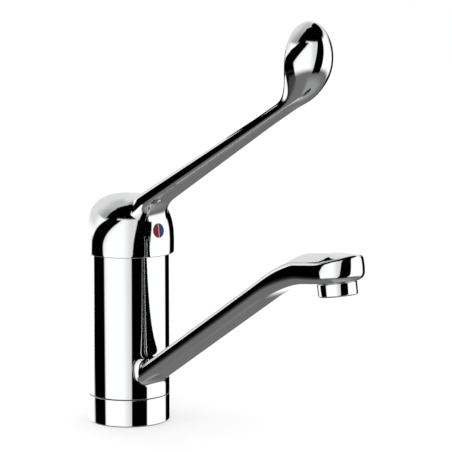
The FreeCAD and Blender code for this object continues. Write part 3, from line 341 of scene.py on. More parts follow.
def finish(name, colour, roughness, metallic=0.0, coarse=60.0, fine=900.0, rough_spread=0.2,
           tone_spread=0.3, ripple=1.0, bump=0.1, depth=0.00002, turned=0.0, **sockets):
    """One finish: a Principled shader whose tone, gloss and bump vary over the surface."""
    material = bpy.data.materials.new(name)
    material.use_nodes = True
    tree = material.node_tree
    shader = tree.nodes["Principled BSDF"]
    place = add(tree, "ShaderNodeTexCoord", -1100, 0)
    detail = place_group(tree, shared("surface", surface_group), -800, 0,
                         Vector=place.outputs["Object"], Coarse_Scale=coarse, Fine_Scale=fine,
                         Roughness=roughness, Roughness_Spread=rough_spread,
                         Tone_Spread=tone_spread, Ripple=ripple)
    tint = add(tree, "ShaderNodeMix", -400, 300, data_type="RGBA", blend_type="MULTIPLY")
    tint.inputs[MIX_FACTOR].default_value = 1.0
    tint.inputs[MIX_COLOUR_A].default_value = (*colour, 1.0)
    tree.links.new(detail.outputs["Tone"], tint.inputs[MIX_COLOUR_B])
    tree.links.new(tint.outputs[MIX_COLOUR], shader.inputs["Base Color"])
    tree.links.new(detail.outputs["Roughness"], shader.inputs["Roughness"])
    height = detail.outputs["Height"]
    if turned:
        lines = place_group(tree, shared("lathe", lathe_group), -600, -300,
                            Vector=place.outputs["Object"], Pitch_Scale=TURNING_PITCH)
        deep = maths(tree, "MULTIPLY", lines.outputs["Height"], turned, -450, -300)
        height = maths(tree, "ADD", height, deep, -350, -300)
    relief = add(tree, "ShaderNodeBump", -200, -200)
    relief.inputs["Strength"].default_value = bump
    relief.inputs["Distance"].default_value = depth
    tree.links.new(height, relief.inputs["Height"])
    tree.links.new(relief.outputs["Normal"], shader.inputs["Normal"])
    shader.inputs["Metallic"].default_value = metallic
    for socket, value in sockets.items():
        shader.inputs[socket.replace("_", " ")].default_value = value
    return material


def plain_material(name, colour):
    """Dull even material without gloss, and its shader."""
    material = bpy.data.materials.new(name)
    material.use_nodes = True
    shader = material.node_tree.nodes["Principled BSDF"]
    shader.inputs["Base Color"].default_value = colour
    shader.inputs["Roughness"].default_value = 1.0
    shader.inputs["Specular IOR Level"].default_value = 0.0
    return material, shader


def dress_nodes(material, names):
    """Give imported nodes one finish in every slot."""
    for name in names:
        slots = NODES[name].data.materials
        if len(slots) == 0:
            slots.append(material)
        for index in range(len(slots)):
            slots[index] = material


# Modelling helpers, which take points in millimetres

ROUND_CORNERS = 160
EDGE_SUPPORT = 0.05
SAME_POINT = 0.001 * MM
TURNED_SHARP = 35.0
CASTING_SHARP = 40.0


def ring_skin(name, rings, pole_start=False, pole_end=False, sharp=TURNED_SHARP):
    """Skin over rings of points: a circle is added and extruded ring by ring.

    A pole closes an end. Edges that turn by more than the sharp angle in degrees stay sharp.
    """
    bpy.ops.object.select_all(action="DESELECT")
    bpy.ops.mesh.primitive_circle_add(vertices=len(rings[0]), radius=1.0)
    piece = bpy.context.active_object
    piece.name = name
    piece.data.name = name
    bpy.ops.object.mode_set(mode="EDIT")
    mesh = bmesh.from_edit_mesh(piece.data)
    place = mesh.verts.layers.int.new("place")
    for index, corner in enumerate(mesh.verts):
        corner[place] = index
        corner.co = Vector(rings[0][index]) * MM
    if pole_start:
        bpy.ops.mesh.select_all(action="SELECT")
        bpy.ops.mesh.extrude_region_move()
        bpy.ops.mesh.merge(type="CENTER")
        bpy.ops.mesh.select_all(action="DESELECT")
        mesh = bmesh.from_edit_mesh(piece.data)
        for edge in mesh.edges:
            if edge.is_boundary:
                edge.select_set(True)
    for ring in rings[1:]:
        bpy.ops.mesh.extrude_region_move()
        mesh = bmesh.from_edit_mesh(piece.data)
        place = mesh.verts.layers.int["place"]
        for corner in mesh.verts:
            if corner.select:
                corner.co = Vector(ring[corner[place]]) * MM
    if pole_end:
        bpy.ops.mesh.extrude_region_move()
        bpy.ops.mesh.merge(type="CENTER")
    bpy.ops.mesh.select_all(action="SELECT")
    bpy.ops.mesh.remove_doubles(threshold=SAME_POINT)
    bpy.ops.mesh.normals_make_consistent(inside=False)
    bpy.ops.object.mode_set(mode="OBJECT")
    piece.data.attributes.remove(piece.data.attributes["place"])
    bpy.ops.object.shade_smooth_by_angle(angle=math.radians(sharp))
    return piece


def round_ring(radius, height, centre=0.0):
    """Points of a level circle."""
    step = 2 * math.pi / ROUND_CORNERS
    return [(centre + radius * math.cos(step * index), radius * math.sin(step * index), height)
            for index in range(ROUND_CORNERS)]


def turned_piece(name, profile, frame_of=None):
    """Closed turned piece from an outline of (radius, height) points."""
    rings = [round_ring(radius, height) for radius, height in profile]
    rings.append(rings[0])
    if frame_of:
        rings = [[frame_of(point) for point in ring] for ring in rings]
    return ring_skin(name, rings)


def arc_points(radius, height, round_radius, start, stop, steps=5):
    """Points of a corner arc about (radius, height), angles in degrees."""
    angles = [math.radians(start + (stop - start) * step / steps) for step in range(steps + 1)]
    return [(radius + round_radius * math.cos(angle), height + round_radius * math.sin(angle))
            for angle in angles]


def edged(radius, low, high, low_round, high_round, inner):
    """Outline of a ring: rounded outer corners, support points beside them, plain bore."""
    outline = [(inner, low), (radius - low_round - EDGE_SUPPORT, low)]
    outline += arc_points(radius - low_round, low + low_round, low_round, -90, 0)
    outline += [(radius, low + low_round + EDGE_SUPPORT),
                (radius, high - high_round - EDGE_SUPPORT)]
    outline += arc_points(radius - high_round, high - high_round, high_round, 0, 90)
    outline += [(radius - high_round - EDGE_SUPPORT, high), (inner, high)]
    return outline


def dress(piece, material, body, slot, *nodes):
    """Give a piece its finish, its body and the nodes that it stands for."""
    piece.data.materials.clear()
    piece.data.materials.append(material)
    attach(piece, body)
    if nodes:
        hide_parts(*nodes)
    return piece


def mixed(first, second, share):
    """Value at a share of the way from one to another."""
    return first + (second - first) * share


def eased(share):
    """Share that starts and ends gently."""
    return share * share * (3 - 2 * share)


# Column and outlet

SLEEVE_RADIUS = 27.0
SLEEVE_BORE = 24.4
SLEEVE_LOW_ROUND = 0.3
SLEEVE_HIGH_ROUND = 1.0
FOOT_BOTTOM = 0.3
FOOT_BORE = 25.0
FOOT_LOW_ROUND = 0.5
FOOT_HIGH_ROUND = 0.3
OUTLET_MIDDLE = Vector((186.0, 0.0, 122.7))
OUTLET_TILT = math.radians(8.4)

# The nozzle inside the outlet shell, as radius and height about the outlet's middle.
NOZZLE_OUTLINE = ((8.6, -12.0), (10.4, -12.0), (10.4, -6.5), (8.6, -6.5))
SHELL_RADIUS = 12.1
SHELL_BORE = 10.5
SHELL_TOP = -7.35
SHELL_TOP_ROUND = 0.4
SHELL_TOP_SUPPORT = -7.9
SHELL_WALL_END = -14.2
SHELL_LOW_ROUND = 1.2
SHELL_LOW_STEPS = 8
SHELL_LIP = ((9.9, -15.4), (9.5, -15.2), (9.4, -14.9), (9.4, -14.4), (10.5, -14.4))


def at_outlet(point):
    """Point given square to the outlet's axis, put in its place."""
    forward, side, height = point
    return (OUTLET_MIDDLE.x + forward * math.cos(OUTLET_TILT) - height * math.sin(OUTLET_TILT),
            side,
            OUTLET_MIDDLE.z + forward * math.sin(OUTLET_TILT) + height * math.cos(OUTLET_TILT))


def shell_outline():
    """Outline of the round outlet shell: top, wall, round lower edge and turned-in lip."""
    top_middle = SHELL_RADIUS - SHELL_TOP_ROUND
    outline = [(SHELL_BORE, SHELL_TOP), (top_middle, SHELL_TOP)]
    outline += arc_points(top_middle, SHELL_TOP - SHELL_TOP_ROUND, SHELL_TOP_ROUND, 90, 0)
    outline += [(SHELL_RADIUS, SHELL_TOP_SUPPORT), (SHELL_RADIUS, SHELL_WALL_END)]
    outline += arc_points(SHELL_RADIUS - SHELL_LOW_ROUND, SHELL_WALL_END, SHELL_LOW_ROUND,
                          0, -90, SHELL_LOW_STEPS)
    return outline + list(SHELL_LIP)


# Surfaces that the castings grow out of

CAP_MIDDLE = Vector((1.2, 0.0, 118.0))
CAP_RADIUS = 29.65
CAP_RISE = 33.6
CAP_POWER = 2.75


class RoundWall:
    """The upright sleeve that the spout grows out of."""

    def level(self, point):
        """Below 1 inside the sleeve, 1 on it and above 1 outside."""
        return math.hypot(point.x, point.y) / SLEEVE_RADIUS

    def normal(self, point):
        """Direction straight out of the sleeve."""
        return Vector((point.x, point.y, 0)).normalized()

    def onto(self, point, rise):
        """Point moved onto the sleeve, or proud of it by a rise."""
        reach = (SLEEVE_RADIUS + rise) / math.hypot(point.x, point.y)
        return Vector((point.x * reach, point.y * reach, point.z))


class DomedCap:
    """The cap that the lever's arm grows out of."""

    def shares(self, point):
        """Way from the cap's middle to a point, and its shares of the radius and rise."""
        from_middle = point - CAP_MIDDLE
        across = math.hypot(from_middle.x, from_middle.y) / CAP_RADIUS
        upward = max(0.0, from_middle.z) / CAP_RISE
        return from_middle, across, upward

    def level(self, point):
        """Below 1 inside the cap, 1 on it and above 1 outside."""
        _, across, upward = self.shares(point)
        return (across ** CAP_POWER + upward ** CAP_POWER) ** (1 / CAP_POWER)

    def normal(self, point):
        """Direction straight out of the cap."""
        from_middle, across, upward = self.shares(point)
        flat = Vector((from_middle.x, from_middle.y, 0)).normalized()
        steep = across ** (CAP_POWER - 1) / CAP_RADIUS
        lift = upward ** (CAP_POWER - 1) / CAP_RISE
        return Vector((flat.x * steep, flat.y * steep, lift)).normalized()

    def onto(self, point, rise):
        """Point moved onto the cap, or proud of it by a rise."""
        foot = CAP_MIDDLE + (point - CAP_MIDDLE) / self.level(point)
        return foot + self.normal(foot) * rise


# Sections of the chromed castings

# How soon the crown turns from round to straight, and its end slope where it is as high as wide.
CROWN_EASE = 0.8
CROWN_END = 1 / (1 + CROWN_EASE ** 2 - CROWN_EASE * math.sqrt(1 + CROWN_EASE ** 2))
SLOPE_ROUNDS = 4

# Points along the crown, top corner, side, lower corner and underside of half a section.
CROWN_STEPS = 9
CORNER_STEPS = 6
SIDE_STEPS = 8
LOWER_STEPS = 10
UNDER_STEPS = 5


def crown_drop(share):
    """Share of the crown's height lost at a share of its half width: round, then straight."""
    return ((math.sqrt(share * share + CROWN_EASE ** 2) - CROWN_EASE)
            / (math.sqrt(1 + CROWN_EASE ** 2) - CROWN_EASE))


def oval_points(across, up, wide, tall, start, stop, steps):
    """Points of an oval arc about (across, up) after its start, angles in radians."""
    angles = [mixed(start, stop, step / steps) for step in range(1, steps + 1)]
    return [(across + wide * math.cos(angle), up + tall * math.sin(angle)) for angle in angles]


def casting_half(form):
    """Half outline of a casting: ridge, top edge, bulging side, round corner, underside."""
    wide, edge, ridge, low, top_round, low_across, low_up, lean = form
    lean = math.radians(lean)
    start = -math.atan(math.tan(lean) * low_up / low_across)
    side_low = -low + low_up * (1 + math.sin(start))
    slope = 0.0
    for _ in range(SLOPE_ROUNDS):
        turn = math.pi / 2 - slope
        corner_up = edge - top_round * math.sin(turn)
        side_top = corner_up + top_round * math.sin(lean)
        barrel = (side_top - side_low) / (2 * math.sin(lean))
        side_edge = wide - barrel * (1 - math.cos(lean))
        corner_across = side_edge - top_round * math.cos(lean)
        edge_across = corner_across + top_round * math.cos(turn)
        slope = math.atan(CROWN_END * (ridge - edge) / edge_across)
    points = [(edge_across * step / CROWN_STEPS,
               ridge - (ridge - edge) * crown_drop(step / CROWN_STEPS))
              for step in range(CROWN_STEPS + 1)]
    points += oval_points(corner_across, corner_up, top_round, top_round, turn, lean,
                          CORNER_STEPS)
    points += oval_points(wide - barrel, (side_top + side_low) / 2, barrel, barrel, lean, -lean,
                          SIDE_STEPS)
    middle = side_edge - low_across * math.cos(start)
    points += oval_points(middle, low_up - low, low_across, low_up, start, -math.pi / 2,
                          LOWER_STEPS)
    points += [(middle * (1 - step / UNDER_STEPS), -low) for step in range(1, UNDER_STEPS + 1)]
    return points


def section(form, forward, height, rise, turn=0.0):
    """Ring of a section, square to a path that passes a place at a rise.

    Both halves may be turned about the upright, as round the spout's nose.
    """
    half = casting_half(form)
    sides = [(point, -1) for point in half] + [(point, 1) for point in reversed(half[1:-1])]
    lean, stand = math.sin(rise), math.cos(rise)
    ring = []
    for (across, up), hand in sides:
        along = across * math.sin(turn)
        ring.append(Vector((forward + along * stand - up * lean,
                            hand * across * math.cos(turn),
                            height + along * lean + up * stand)))
    return ring


def blended(first, second, share):
    """Section between two others."""
    return [mixed(one, other, share) for one, other in zip(first, second)]


def smooth_bend(begin, end, fullness, share):
    """Forward place, height and rise on a cubic bend that leaves and arrives along two rises."""
    length = (end[0] - begin[0]) / math.cos((begin[2] + end[2]) / 2) * fullness
    done = eased(share)
    leaving = share ** 3 - 2 * share ** 2 + share
    arriving = share ** 3 - share ** 2
    forward = (mixed(begin[0], end[0], done)
               + length * (math.cos(begin[2]) * leaving + math.cos(end[2]) * arriving))
    height = (mixed(begin[1], end[1], done)
              + length * (math.sin(begin[2]) * leaving + math.sin(end[2]) * arriving))
    toward = [6 * share * (1 - share) * (end[axis] - begin[axis])
              + length * (turn(begin[2]) * (3 * share ** 2 - 4 * share + 1)
                          + turn(end[2]) * (3 * share ** 2 - 2 * share))
              for axis, turn in ((0, math.cos), (1, math.sin))]
    return forward, height, math.atan2(toward[1], toward[0])


# Spout

# Half width, top edge, ridge, underside, top round, lower corner across and up, side lean.
SPOUT_ROOT = (13.4, 5.0, 5.3, 5.2, 2.4, 6.0, 6.0, 5.0)
SPOUT_NECK = (13.2, 5.0, 5.5, 5.3, 2.4, 6.0, 6.0, 5.0)
SPOUT_SHOULDER = (16.8, 6.3, 10.3, 7.8, 2.4, 6.2, 6.0, 6.0)
SPOUT_HEAD = (17.5, 6.7, 10.7, 7.2, 2.4, 5.5, 5.0, 6.0)
NOSE_FRONT_EDGE = 8.4

# The straight run rises from inside the sleeve, and passes the sleeve's radius at a set height.
SPOUT_RISE = math.radians(33.3)
SPOUT_ROOT_HEIGHT = 36.1
SPOUT_RUN_BEGIN = 22.0
SPOUT_RUN_END = 127.0
SHOULDER_FORWARD = 168.0
SHOULDER_HEIGHT = 120.94
SPOUT_FULLNESS = 0.85
SPOUT_FLARE = 4.4
SPOUT_SINK = 1.4

# Rings along the straight run, the bend, the head and the round nose.
RUN_STEPS = 24
BEND_STEPS = 30
HEAD_STEPS = 12
NOSE_STEPS = 24


def spout_axis(forward):
    """Height of the spout's straight run at a distance from the column's axis."""
    return SPOUT_ROOT_HEIGHT + math.tan(SPOUT_RISE) * (forward - SLEEVE_RADIUS)


def spout_rings():
    """Rings of the spout from its root to the round nose."""
    run_end = (SPOUT_RUN_END, spout_axis(SPOUT_RUN_END), SPOUT_RISE)
    shoulder = (SHOULDER_FORWARD, SHOULDER_HEIGHT, OUTLET_TILT)
    rings = []
    for step in range(RUN_STEPS + 1):
        share = step / RUN_STEPS
        forward = mixed(SPOUT_RUN_BEGIN, SPOUT_RUN_END, share)
        form = blended(SPOUT_ROOT, SPOUT_NECK, share)
        rings.append(section(form, forward, spout_axis(forward), SPOUT_RISE))
    for step in range(1, BEND_STEPS + 1):
        share = step / BEND_STEPS
        form = blended(SPOUT_NECK, SPOUT_SHOULDER, eased(share))
        rings.append(section(form, *smooth_bend(run_end, shoulder, SPOUT_FULLNESS, share)))
    for step in range(1, HEAD_STEPS + 1):
        share = step / HEAD_STEPS
        form = blended(SPOUT_SHOULDER, SPOUT_HEAD, share)
        forward = mixed(SHOULDER_FORWARD, OUTLET_MIDDLE.x, share)
        height = mixed(SHOULDER_HEIGHT, OUTLET_MIDDLE.z, share)
        rings.append(section(form, forward, height, OUTLET_TILT))
    for step in range(1, NOSE_STEPS + 1):
        turn = math.pi / 2 * step / NOSE_STEPS
        form = list(SPOUT_HEAD)
        form[1] = mixed(SPOUT_HEAD[1], NOSE_FRONT_EDGE, math.sin(turn) ** 2)
        rings.append(section(form, OUTLET_MIDDLE.x, OUTLET_MIDDLE.z, OUTLET_TILT, turn))
    return rings


# Flared roots

# Rings of a flare: shares of its floor, then how far outside its edge and how proud each is.
FLARE_FLOOR = (0.02, 0.35, 0.7)
FLARE_SKIRT = 0.25
FLARE_RISE = 0.015
FLARE_EDGES = ((FLARE_SKIRT, 0.0), (0.12, 0.012), (0.0, FLARE_RISE))
FLARE_STEPS = 12
FLARE_CLEARANCE = 1.0
SEARCH_STEPS = 40


def way_out(surface, start, along, far):
    """Distance at which a line from a start inside a surface leaves it."""
    near = 0.0
    for _ in range(SEARCH_STEPS):
        middle = (near + far) / 2
        if surface.level(start + along * middle) < 1.0:
            near = middle
        else:
            far = middle
    return near


def rooted(rings, surface, radius, depth):
    """Rings with the first straight run cut back to a surface and flared into it.

    The flare has a round of the given radius, and its floor is sunk by a depth.
    """
    first, second = rings[0], rings[1]
    clear = next(index for index, ring in enumerate(rings)
                 if min(surface.level(point) for point in ring) > 1.0)
    count = len(first)
    centre = sum(first, Vector()) / count
    feet, outs, backs, reaches, stems = [], [], [], [], []
    for index, start in enumerate(first):
        along = (second[index] - start).normalized()
        stem = way_out(surface, start, along, (rings[clear][index] - start).length)
        foot = start + along * stem
        normal = surface.normal(foot)
        beside = first[(index + 1) % count] - first[index - 1]
        outward = beside.cross(along).normalized()
        if outward.dot(start - centre) < 0:
            outward.negate()
        flat = outward - along * (outward.dot(normal) / along.dot(normal))
        flat = (flat - normal * flat.dot(normal)).normalized()
        feet.append(foot)
        outs.append(along)
        backs.append(flat)
        reaches.append(radius / math.tan(along.angle(flat) / 2))
        stems.append(stem)

    def edge_ring(further, rise):
        return [surface.onto(foot + back * (reach + further), rise)
                for foot, back, reach in zip(feet, backs, reaches)]

    middle = sum(feet, Vector()) / count
    flared = [[surface.onto(middle + (foot + back * reach - middle) * share, -depth)
               for foot, back, reach in zip(feet, backs, reaches)] for share in FLARE_FLOOR]
    flared.append(edge_ring(FLARE_SKIRT, -depth))
    flared += [edge_ring(further, rise) for further, rise in FLARE_EDGES]
    starts = flared[-1]
    ends = [foot + out * reach for foot, out, reach in zip(feet, outs, reaches)]
    for step in range(1, FLARE_STEPS):
        share = step / FLARE_STEPS
        flared.append([start * (1 - share) ** 2 + foot * 2 * share * (1 - share) + end * share ** 2
                       for start, foot, end in zip(starts, feet, ends)])
    beyond = next(number for number in range(clear, len(rings))
                  if all((rings[number][index] - first[index]).dot(outs[index])
                         > stems[index] + reaches[index] + FLARE_CLEARANCE
                         for index in range(count)))
    halfway = [mixed(end, point, 0.5) for end, point in zip(ends, rings[beyond])]
    return flared + [ends, halfway] + rings[beyond:]


# Lever: a straight arm that tapers, then a scooped paddle on a round bend

LEVER_RISE = math.radians(29.5)
TIP_RISE = math.radians(116.0)
ARM_AXIS_HEIGHT = 134.9
ARM_BEGIN = 12.0
ARM_TAPER = 115.0
ARM_STOP = 143.5
ARM_ROOT = (12.6, 5.1, 5.9, 5.5, 2.6, 6.0, 3.6, 5.0)
ARM_END = (7.5, 2.8, 3.1, 3.1, 1.3, 4.0, 2.0, 5.0)
LEVER_FLARE = 13.0
LEVER_SINK = 1.2
SCOOP_BEND = 39.5
SCOOP_WIDTH = 14.6
SCOOP_DEPTH = 15.2
SCOOP_RIM = 6.2
SCOOP_RIM_ROUND = 1.2
SCOOP_WALL = 3.2

# Shares of the paddle's length, then of its own width and height for its lower corner.
SCOOP_WIDEST = 0.62
SCOOP_ROUNDED = 0.45
SCOOP_CORNER_ACROSS = 0.97
SCOOP_CORNER_UP = 0.9

# Rings along the arm, the paddle's widening and its tip.
ARM_STEPS = 28
SWELL_STEPS = 34
TIP_STEPS = 30


def scoop_form(share):
    """Section of the scooped paddle at a share of its length."""
    wide, edge, ridge, low, top_round, across, up, lean = ARM_END
    if share < SCOOP_WIDEST:
        swell = math.sin(math.pi / 2 * share / SCOOP_WIDEST) ** 2
        grown = eased(min(1.0, share / SCOOP_ROUNDED))
        left = 1.0
    else:
        swell, grown = 1.0, 1.0
        left = math.sqrt(max(0.0, 1 - ((share - SCOOP_WIDEST) / (1 - SCOOP_WIDEST)) ** 2))
    wide = mixed(wide, SCOOP_WIDTH, swell)
    edge = mixed(edge, SCOOP_RIM, swell)
    ridge = mixed(ridge, SCOOP_WALL - SCOOP_DEPTH, swell)
    low = mixed(low, SCOOP_DEPTH, swell)
    top_round = mixed(top_round, SCOOP_RIM_ROUND, grown)
    across = mixed(across, wide * SCOOP_CORNER_ACROSS, grown)
    up = mixed(up, (low + edge) * SCOOP_CORNER_UP, grown)
    return [size * left for size in (wide, edge, ridge, low, top_round, across, up)] + [lean]


def arm_axis(forward):
    """Height of the arm's axis at a distance from the column's axis."""
    return ARM_AXIS_HEIGHT + math.tan(LEVER_RISE) * forward


def lever_rings():
    """Rings of the lever: the straight arm, then the scooped paddle on its round bend."""
    rings = []
    for step in range(ARM_STEPS + 1):
        forward = mixed(ARM_BEGIN, ARM_STOP, step / ARM_STEPS)
        form = blended(ARM_ROOT, ARM_END, min(1.0, (forward - ARM_BEGIN) / ARM_TAPER))
        rings.append(section(form, forward, arm_axis(forward), LEVER_RISE))
    shares = [SCOOP_WIDEST * step / SWELL_STEPS for step in range(1, SWELL_STEPS + 1)]
    shares += [mixed(SCOOP_WIDEST, 1.0, math.sin(math.pi / 2 * step / TIP_STEPS))
               for step in range(1, TIP_STEPS)]
    for share in shares:
        rise = mixed(LEVER_RISE, TIP_RISE, share)
        forward = ARM_STOP + SCOOP_BEND * (math.sin(rise) - math.sin(LEVER_RISE))
        height = arm_axis(ARM_STOP) + SCOOP_BEND * (math.cos(LEVER_RISE) - math.cos(rise))
        rings.append(section(scoop_form(share), forward, height, rise))
    return rings


# Cap

CAP_RIM_RADIUS = 29.5
CAP_RIM_LOW = 112.5
CAP_RIM_HIGH = 113.0
CAP_RIM_ROUND = 0.45
CAP_BORE = 28.45
CAP_BORE_ROUND = 0.3
CAP_ROOF = ((2.0, 144.2), (9.5, 144.0), (21.0, 138.0), (27.6, 126.0))
CAP_SHARP = 32.0
POLE_RADIUS = 0.3
SKIRT_STEPS = 6
DOME_STEPS = 60


def cap_outline():
    """Outline of the cap: roof and bore inside, rim, skirt, dome."""
    bore_middle = CAP_RIM_LOW + CAP_BORE_ROUND
    outline = list(CAP_ROOF) + [(CAP_BORE, bore_middle)]
    outline += arc_points(CAP_BORE + CAP_BORE_ROUND, bore_middle, CAP_BORE_ROUND, 225, 270, 1)
    outline += arc_points(CAP_RIM_RADIUS - CAP_RIM_ROUND, CAP_RIM_LOW + CAP_RIM_ROUND,
                          CAP_RIM_ROUND, -90, 0)
    for step in range(1, SKIRT_STEPS + 1):
        share = step / SKIRT_STEPS
        outline.append((mixed(CAP_RIM_RADIUS, CAP_RADIUS, math.sqrt(share)),
                        mixed(CAP_RIM_HIGH, CAP_MIDDLE.z, share)))
    for step in range(1, DOME_STEPS + 1):
        angle = math.pi / 2 * step / DOME_STEPS
        radius = CAP_RADIUS * max(0.0, math.cos(angle)) ** (2 / CAP_POWER)
        outline.append((max(radius, POLE_RADIUS),
                        CAP_MIDDLE.z + CAP_RISE * math.sin(angle) ** (2 / CAP_POWER)))
    return outline


# Marker

MARKER_STEPS = 64
HALF_STEPS = 32
RIB_STEPS = 16
RIB_HALF = 0.28
HALF_INSET = 0.1
HALF_MIDDLE = 2.0
PLUG_RISE = 0.05
HALF_RISE = 0.16

# A tile is sunk in the cap, and its front edge is a little rounded.
TILE_SINK = -0.6
TILE_EDGE = 0.05
TILE_POLE = 0.02
TILE_BACK = (TILE_POLE, 0.5, 1.0)
TILE_FACE = (0.985, 0.8, 0.5, 0.2, TILE_POLE)
TILE_SHARP = 30.0


def cap_surface(side, height, rise):
    """Point on the cap's front, proud of it by a given rise."""
    share = max(0.0, (height - CAP_MIDDLE.z) / CAP_RISE)
    reach = CAP_RADIUS * (1 - share ** CAP_POWER) ** (1 / CAP_POWER)
    return (CAP_MIDDLE.x + math.sqrt(reach * reach - side * side) + rise, side, height)


def full_round(radius):
    """Outline of the round plug."""
    turns = [math.tau * step / MARKER_STEPS for step in range(MARKER_STEPS)]
    return [(radius * math.cos(turn), radius * math.sin(turn)) for turn in turns]


def half_round(radius, side):
    """Outline of one coloured half beside the middle rib."""
    radius -= HALF_INSET
    widest = math.acos(RIB_HALF / radius)
    turns = [mixed(-widest, widest, step / HALF_STEPS) for step in range(HALF_STEPS + 1)]
    points = [(side * radius * math.cos(turn), radius * math.sin(turn)) for turn in turns]
    top, bottom = points[-1], points[0]
    points += [(top[0], mixed(top[1], bottom[1], step / RIB_STEPS))
               for step in range(1, RIB_STEPS)]
    return points


def marker_piece(name, outline, middle, height, rise):
    """Thin closed tile on the cap's front, with the given outline about the marker's middle."""
    def ring(share, proud):
        return [cap_surface(mixed(middle, side, share), height + up * share, proud)
                for side, up in outline]
    rings = [ring(share, TILE_SINK) for share in TILE_BACK]
    rings.append(ring(1.0, rise - TILE_EDGE))
    rings += [ring(share, rise) for share in TILE_FACE]
    return ring_skin(name, rings, pole_start=True, pole_end=True, sharp=TILE_SHARP)


# Operators

class MakeStage(bpy.types.Operator):
    """Make the pale floor, the soft studio light and the camera."""

    bl_idname = "sink_tap.make_stage"
    bl_label = "Stage and camera"
    bl_options = {"REGISTER", "UNDO"}

    def execute(self, context):
        stage = context.scene.sink_tap_stage
        self.make_camera(context)
        self.make_floor(stage)
        self.make_world(context, stage)
        self.make_lamp(context)
        self.make_card()
        context.scene.view_settings.view_transform = "Standard"
        return {"FINISHED"}

    def make_camera(self, context):
        """Camera at the photograph's viewpoint."""
        data = bpy.data.cameras.new("photo camera")
        data.lens = CAMERA_LENS
        data.sensor_width = CAMERA_SENSOR
        data.clip_end = CAMERA_REACH
        data.dof.use_dof = False
        camera = bpy.data.objects.new("photo camera", data)
        camera.location = CAMERA_PLACE
        camera.rotation_euler = CAMERA_LOOK.to_track_quat("-Z", "Y").to_euler()
        context.scene.collection.objects.link(camera)
        context.scene.camera = camera

    def make_floor(self, stage):
        """Pale floor that looks white to the camera and keeps the tap's shadow."""
        bpy.ops.object.select_all(action="DESELECT")
        bpy.ops.mesh.primitive_plane_add(size=stage.floor_size)
        floor = bpy.context.active_object
        floor.name = "floor"
        floor.visible_glossy = False
        pale = stage.floor_albedo
        material, shader = plain_material("pale floor", (pale, pale, pale, 1.0))
        tree = material.node_tree
        path = add(tree, "ShaderNodeLightPath", -600, -200)
        lift = maths(tree, "MULTIPLY", path.outputs["Is Camera Ray"], FLOOR_LEVEL - pale,
                     -300, -200)
        shader.inputs["Emission Color"].default_value = WHITE
        tree.links.new(lift, shader.inputs["Emission Strength"])
        floor.data.materials.append(material)

    def make_world(self, context, stage):
        """World that lights evenly, looks white to the camera and shows its cards to gloss."""
        world = bpy.data.worlds.new("soft studio")
        context.scene.world = world
        world.use_nodes = True
        tree = world.node_tree
        tree.nodes.clear()
        path = add(tree, "ShaderNodeLightPath", 900, 600)
        plain = add(tree, "ShaderNodeBackground", 1200, 400)
        plain.inputs["Color"].default_value = WHITE
        plain.inputs["Strength"].default_value = stage.room_level
        white = add(tree, "ShaderNodeBackground", 1200, 250)
        white.inputs["Color"].default_value = WHITE
        banded = add(tree, "ShaderNodeBackground", 1200, 100)
        banded.inputs["Strength"].default_value = stage.mirror_level
        tree.links.new(studio_light(tree), banded.inputs["Color"])
        mirror_ray = maths(tree, "MAXIMUM", path.outputs["Is Glossy Ray"],
                           path.outputs["Is Transmission Ray"], 1200, 600)
        mirrored = add(tree, "ShaderNodeMixShader", 1500, 200)
        seen = add(tree, "ShaderNodeMixShader", 1700, 300)
        for mix, sources in (
                (mirrored, (mirror_ray, plain.outputs[0], banded.outputs[0])),
                (seen, (path.outputs["Is Camera Ray"], mirrored.outputs[0], white.outputs[0]))):
            for socket, source in zip(mix.inputs, sources):
                tree.links.new(source, socket)
        end = add(tree, "ShaderNodeOutputWorld", 1900, 300)
        tree.links.new(seen.outputs[0], end.inputs["Surface"])

    def make_card(self):
        """Small black card above the arm, seen only by the plating."""
        bpy.ops.object.select_all(action="DESELECT")
        bpy.ops.mesh.primitive_plane_add(size=1.0)
        card = bpy.context.active_object
        card.name = "paddle_card"
        for corner in card.data.vertices:
            across, up = corner.co.x, corner.co.y
            corner.co = CARD_MIDDLE + Vector((0.0, across * CARD_WIDE, up * CARD_TALL))
        for ray in ("camera", "diffuse", "shadow", "transmission"):
            setattr(card, "visible_" + ray, False)
        card.data.materials.append(plain_material("black card", BLACK)[0])

    def make_lamp(self, context):
        """Soft lamp that the plating doesn't mirror."""
        data = bpy.data.lights.new("soft key", "AREA")
        data.shape = "DISK"
        data.size = LAMP_WIDTH
        data.energy = LAMP_POWER
        lamp = bpy.data.objects.new("soft key", data)
        lamp.location = LAMP_PLACE
        lamp.rotation_euler = (LAMP_AIM - LAMP_PLACE).to_track_quat("-Z", "Y").to_euler()
        lamp.visible_glossy = False
        context.scene.collection.objects.link(lamp)


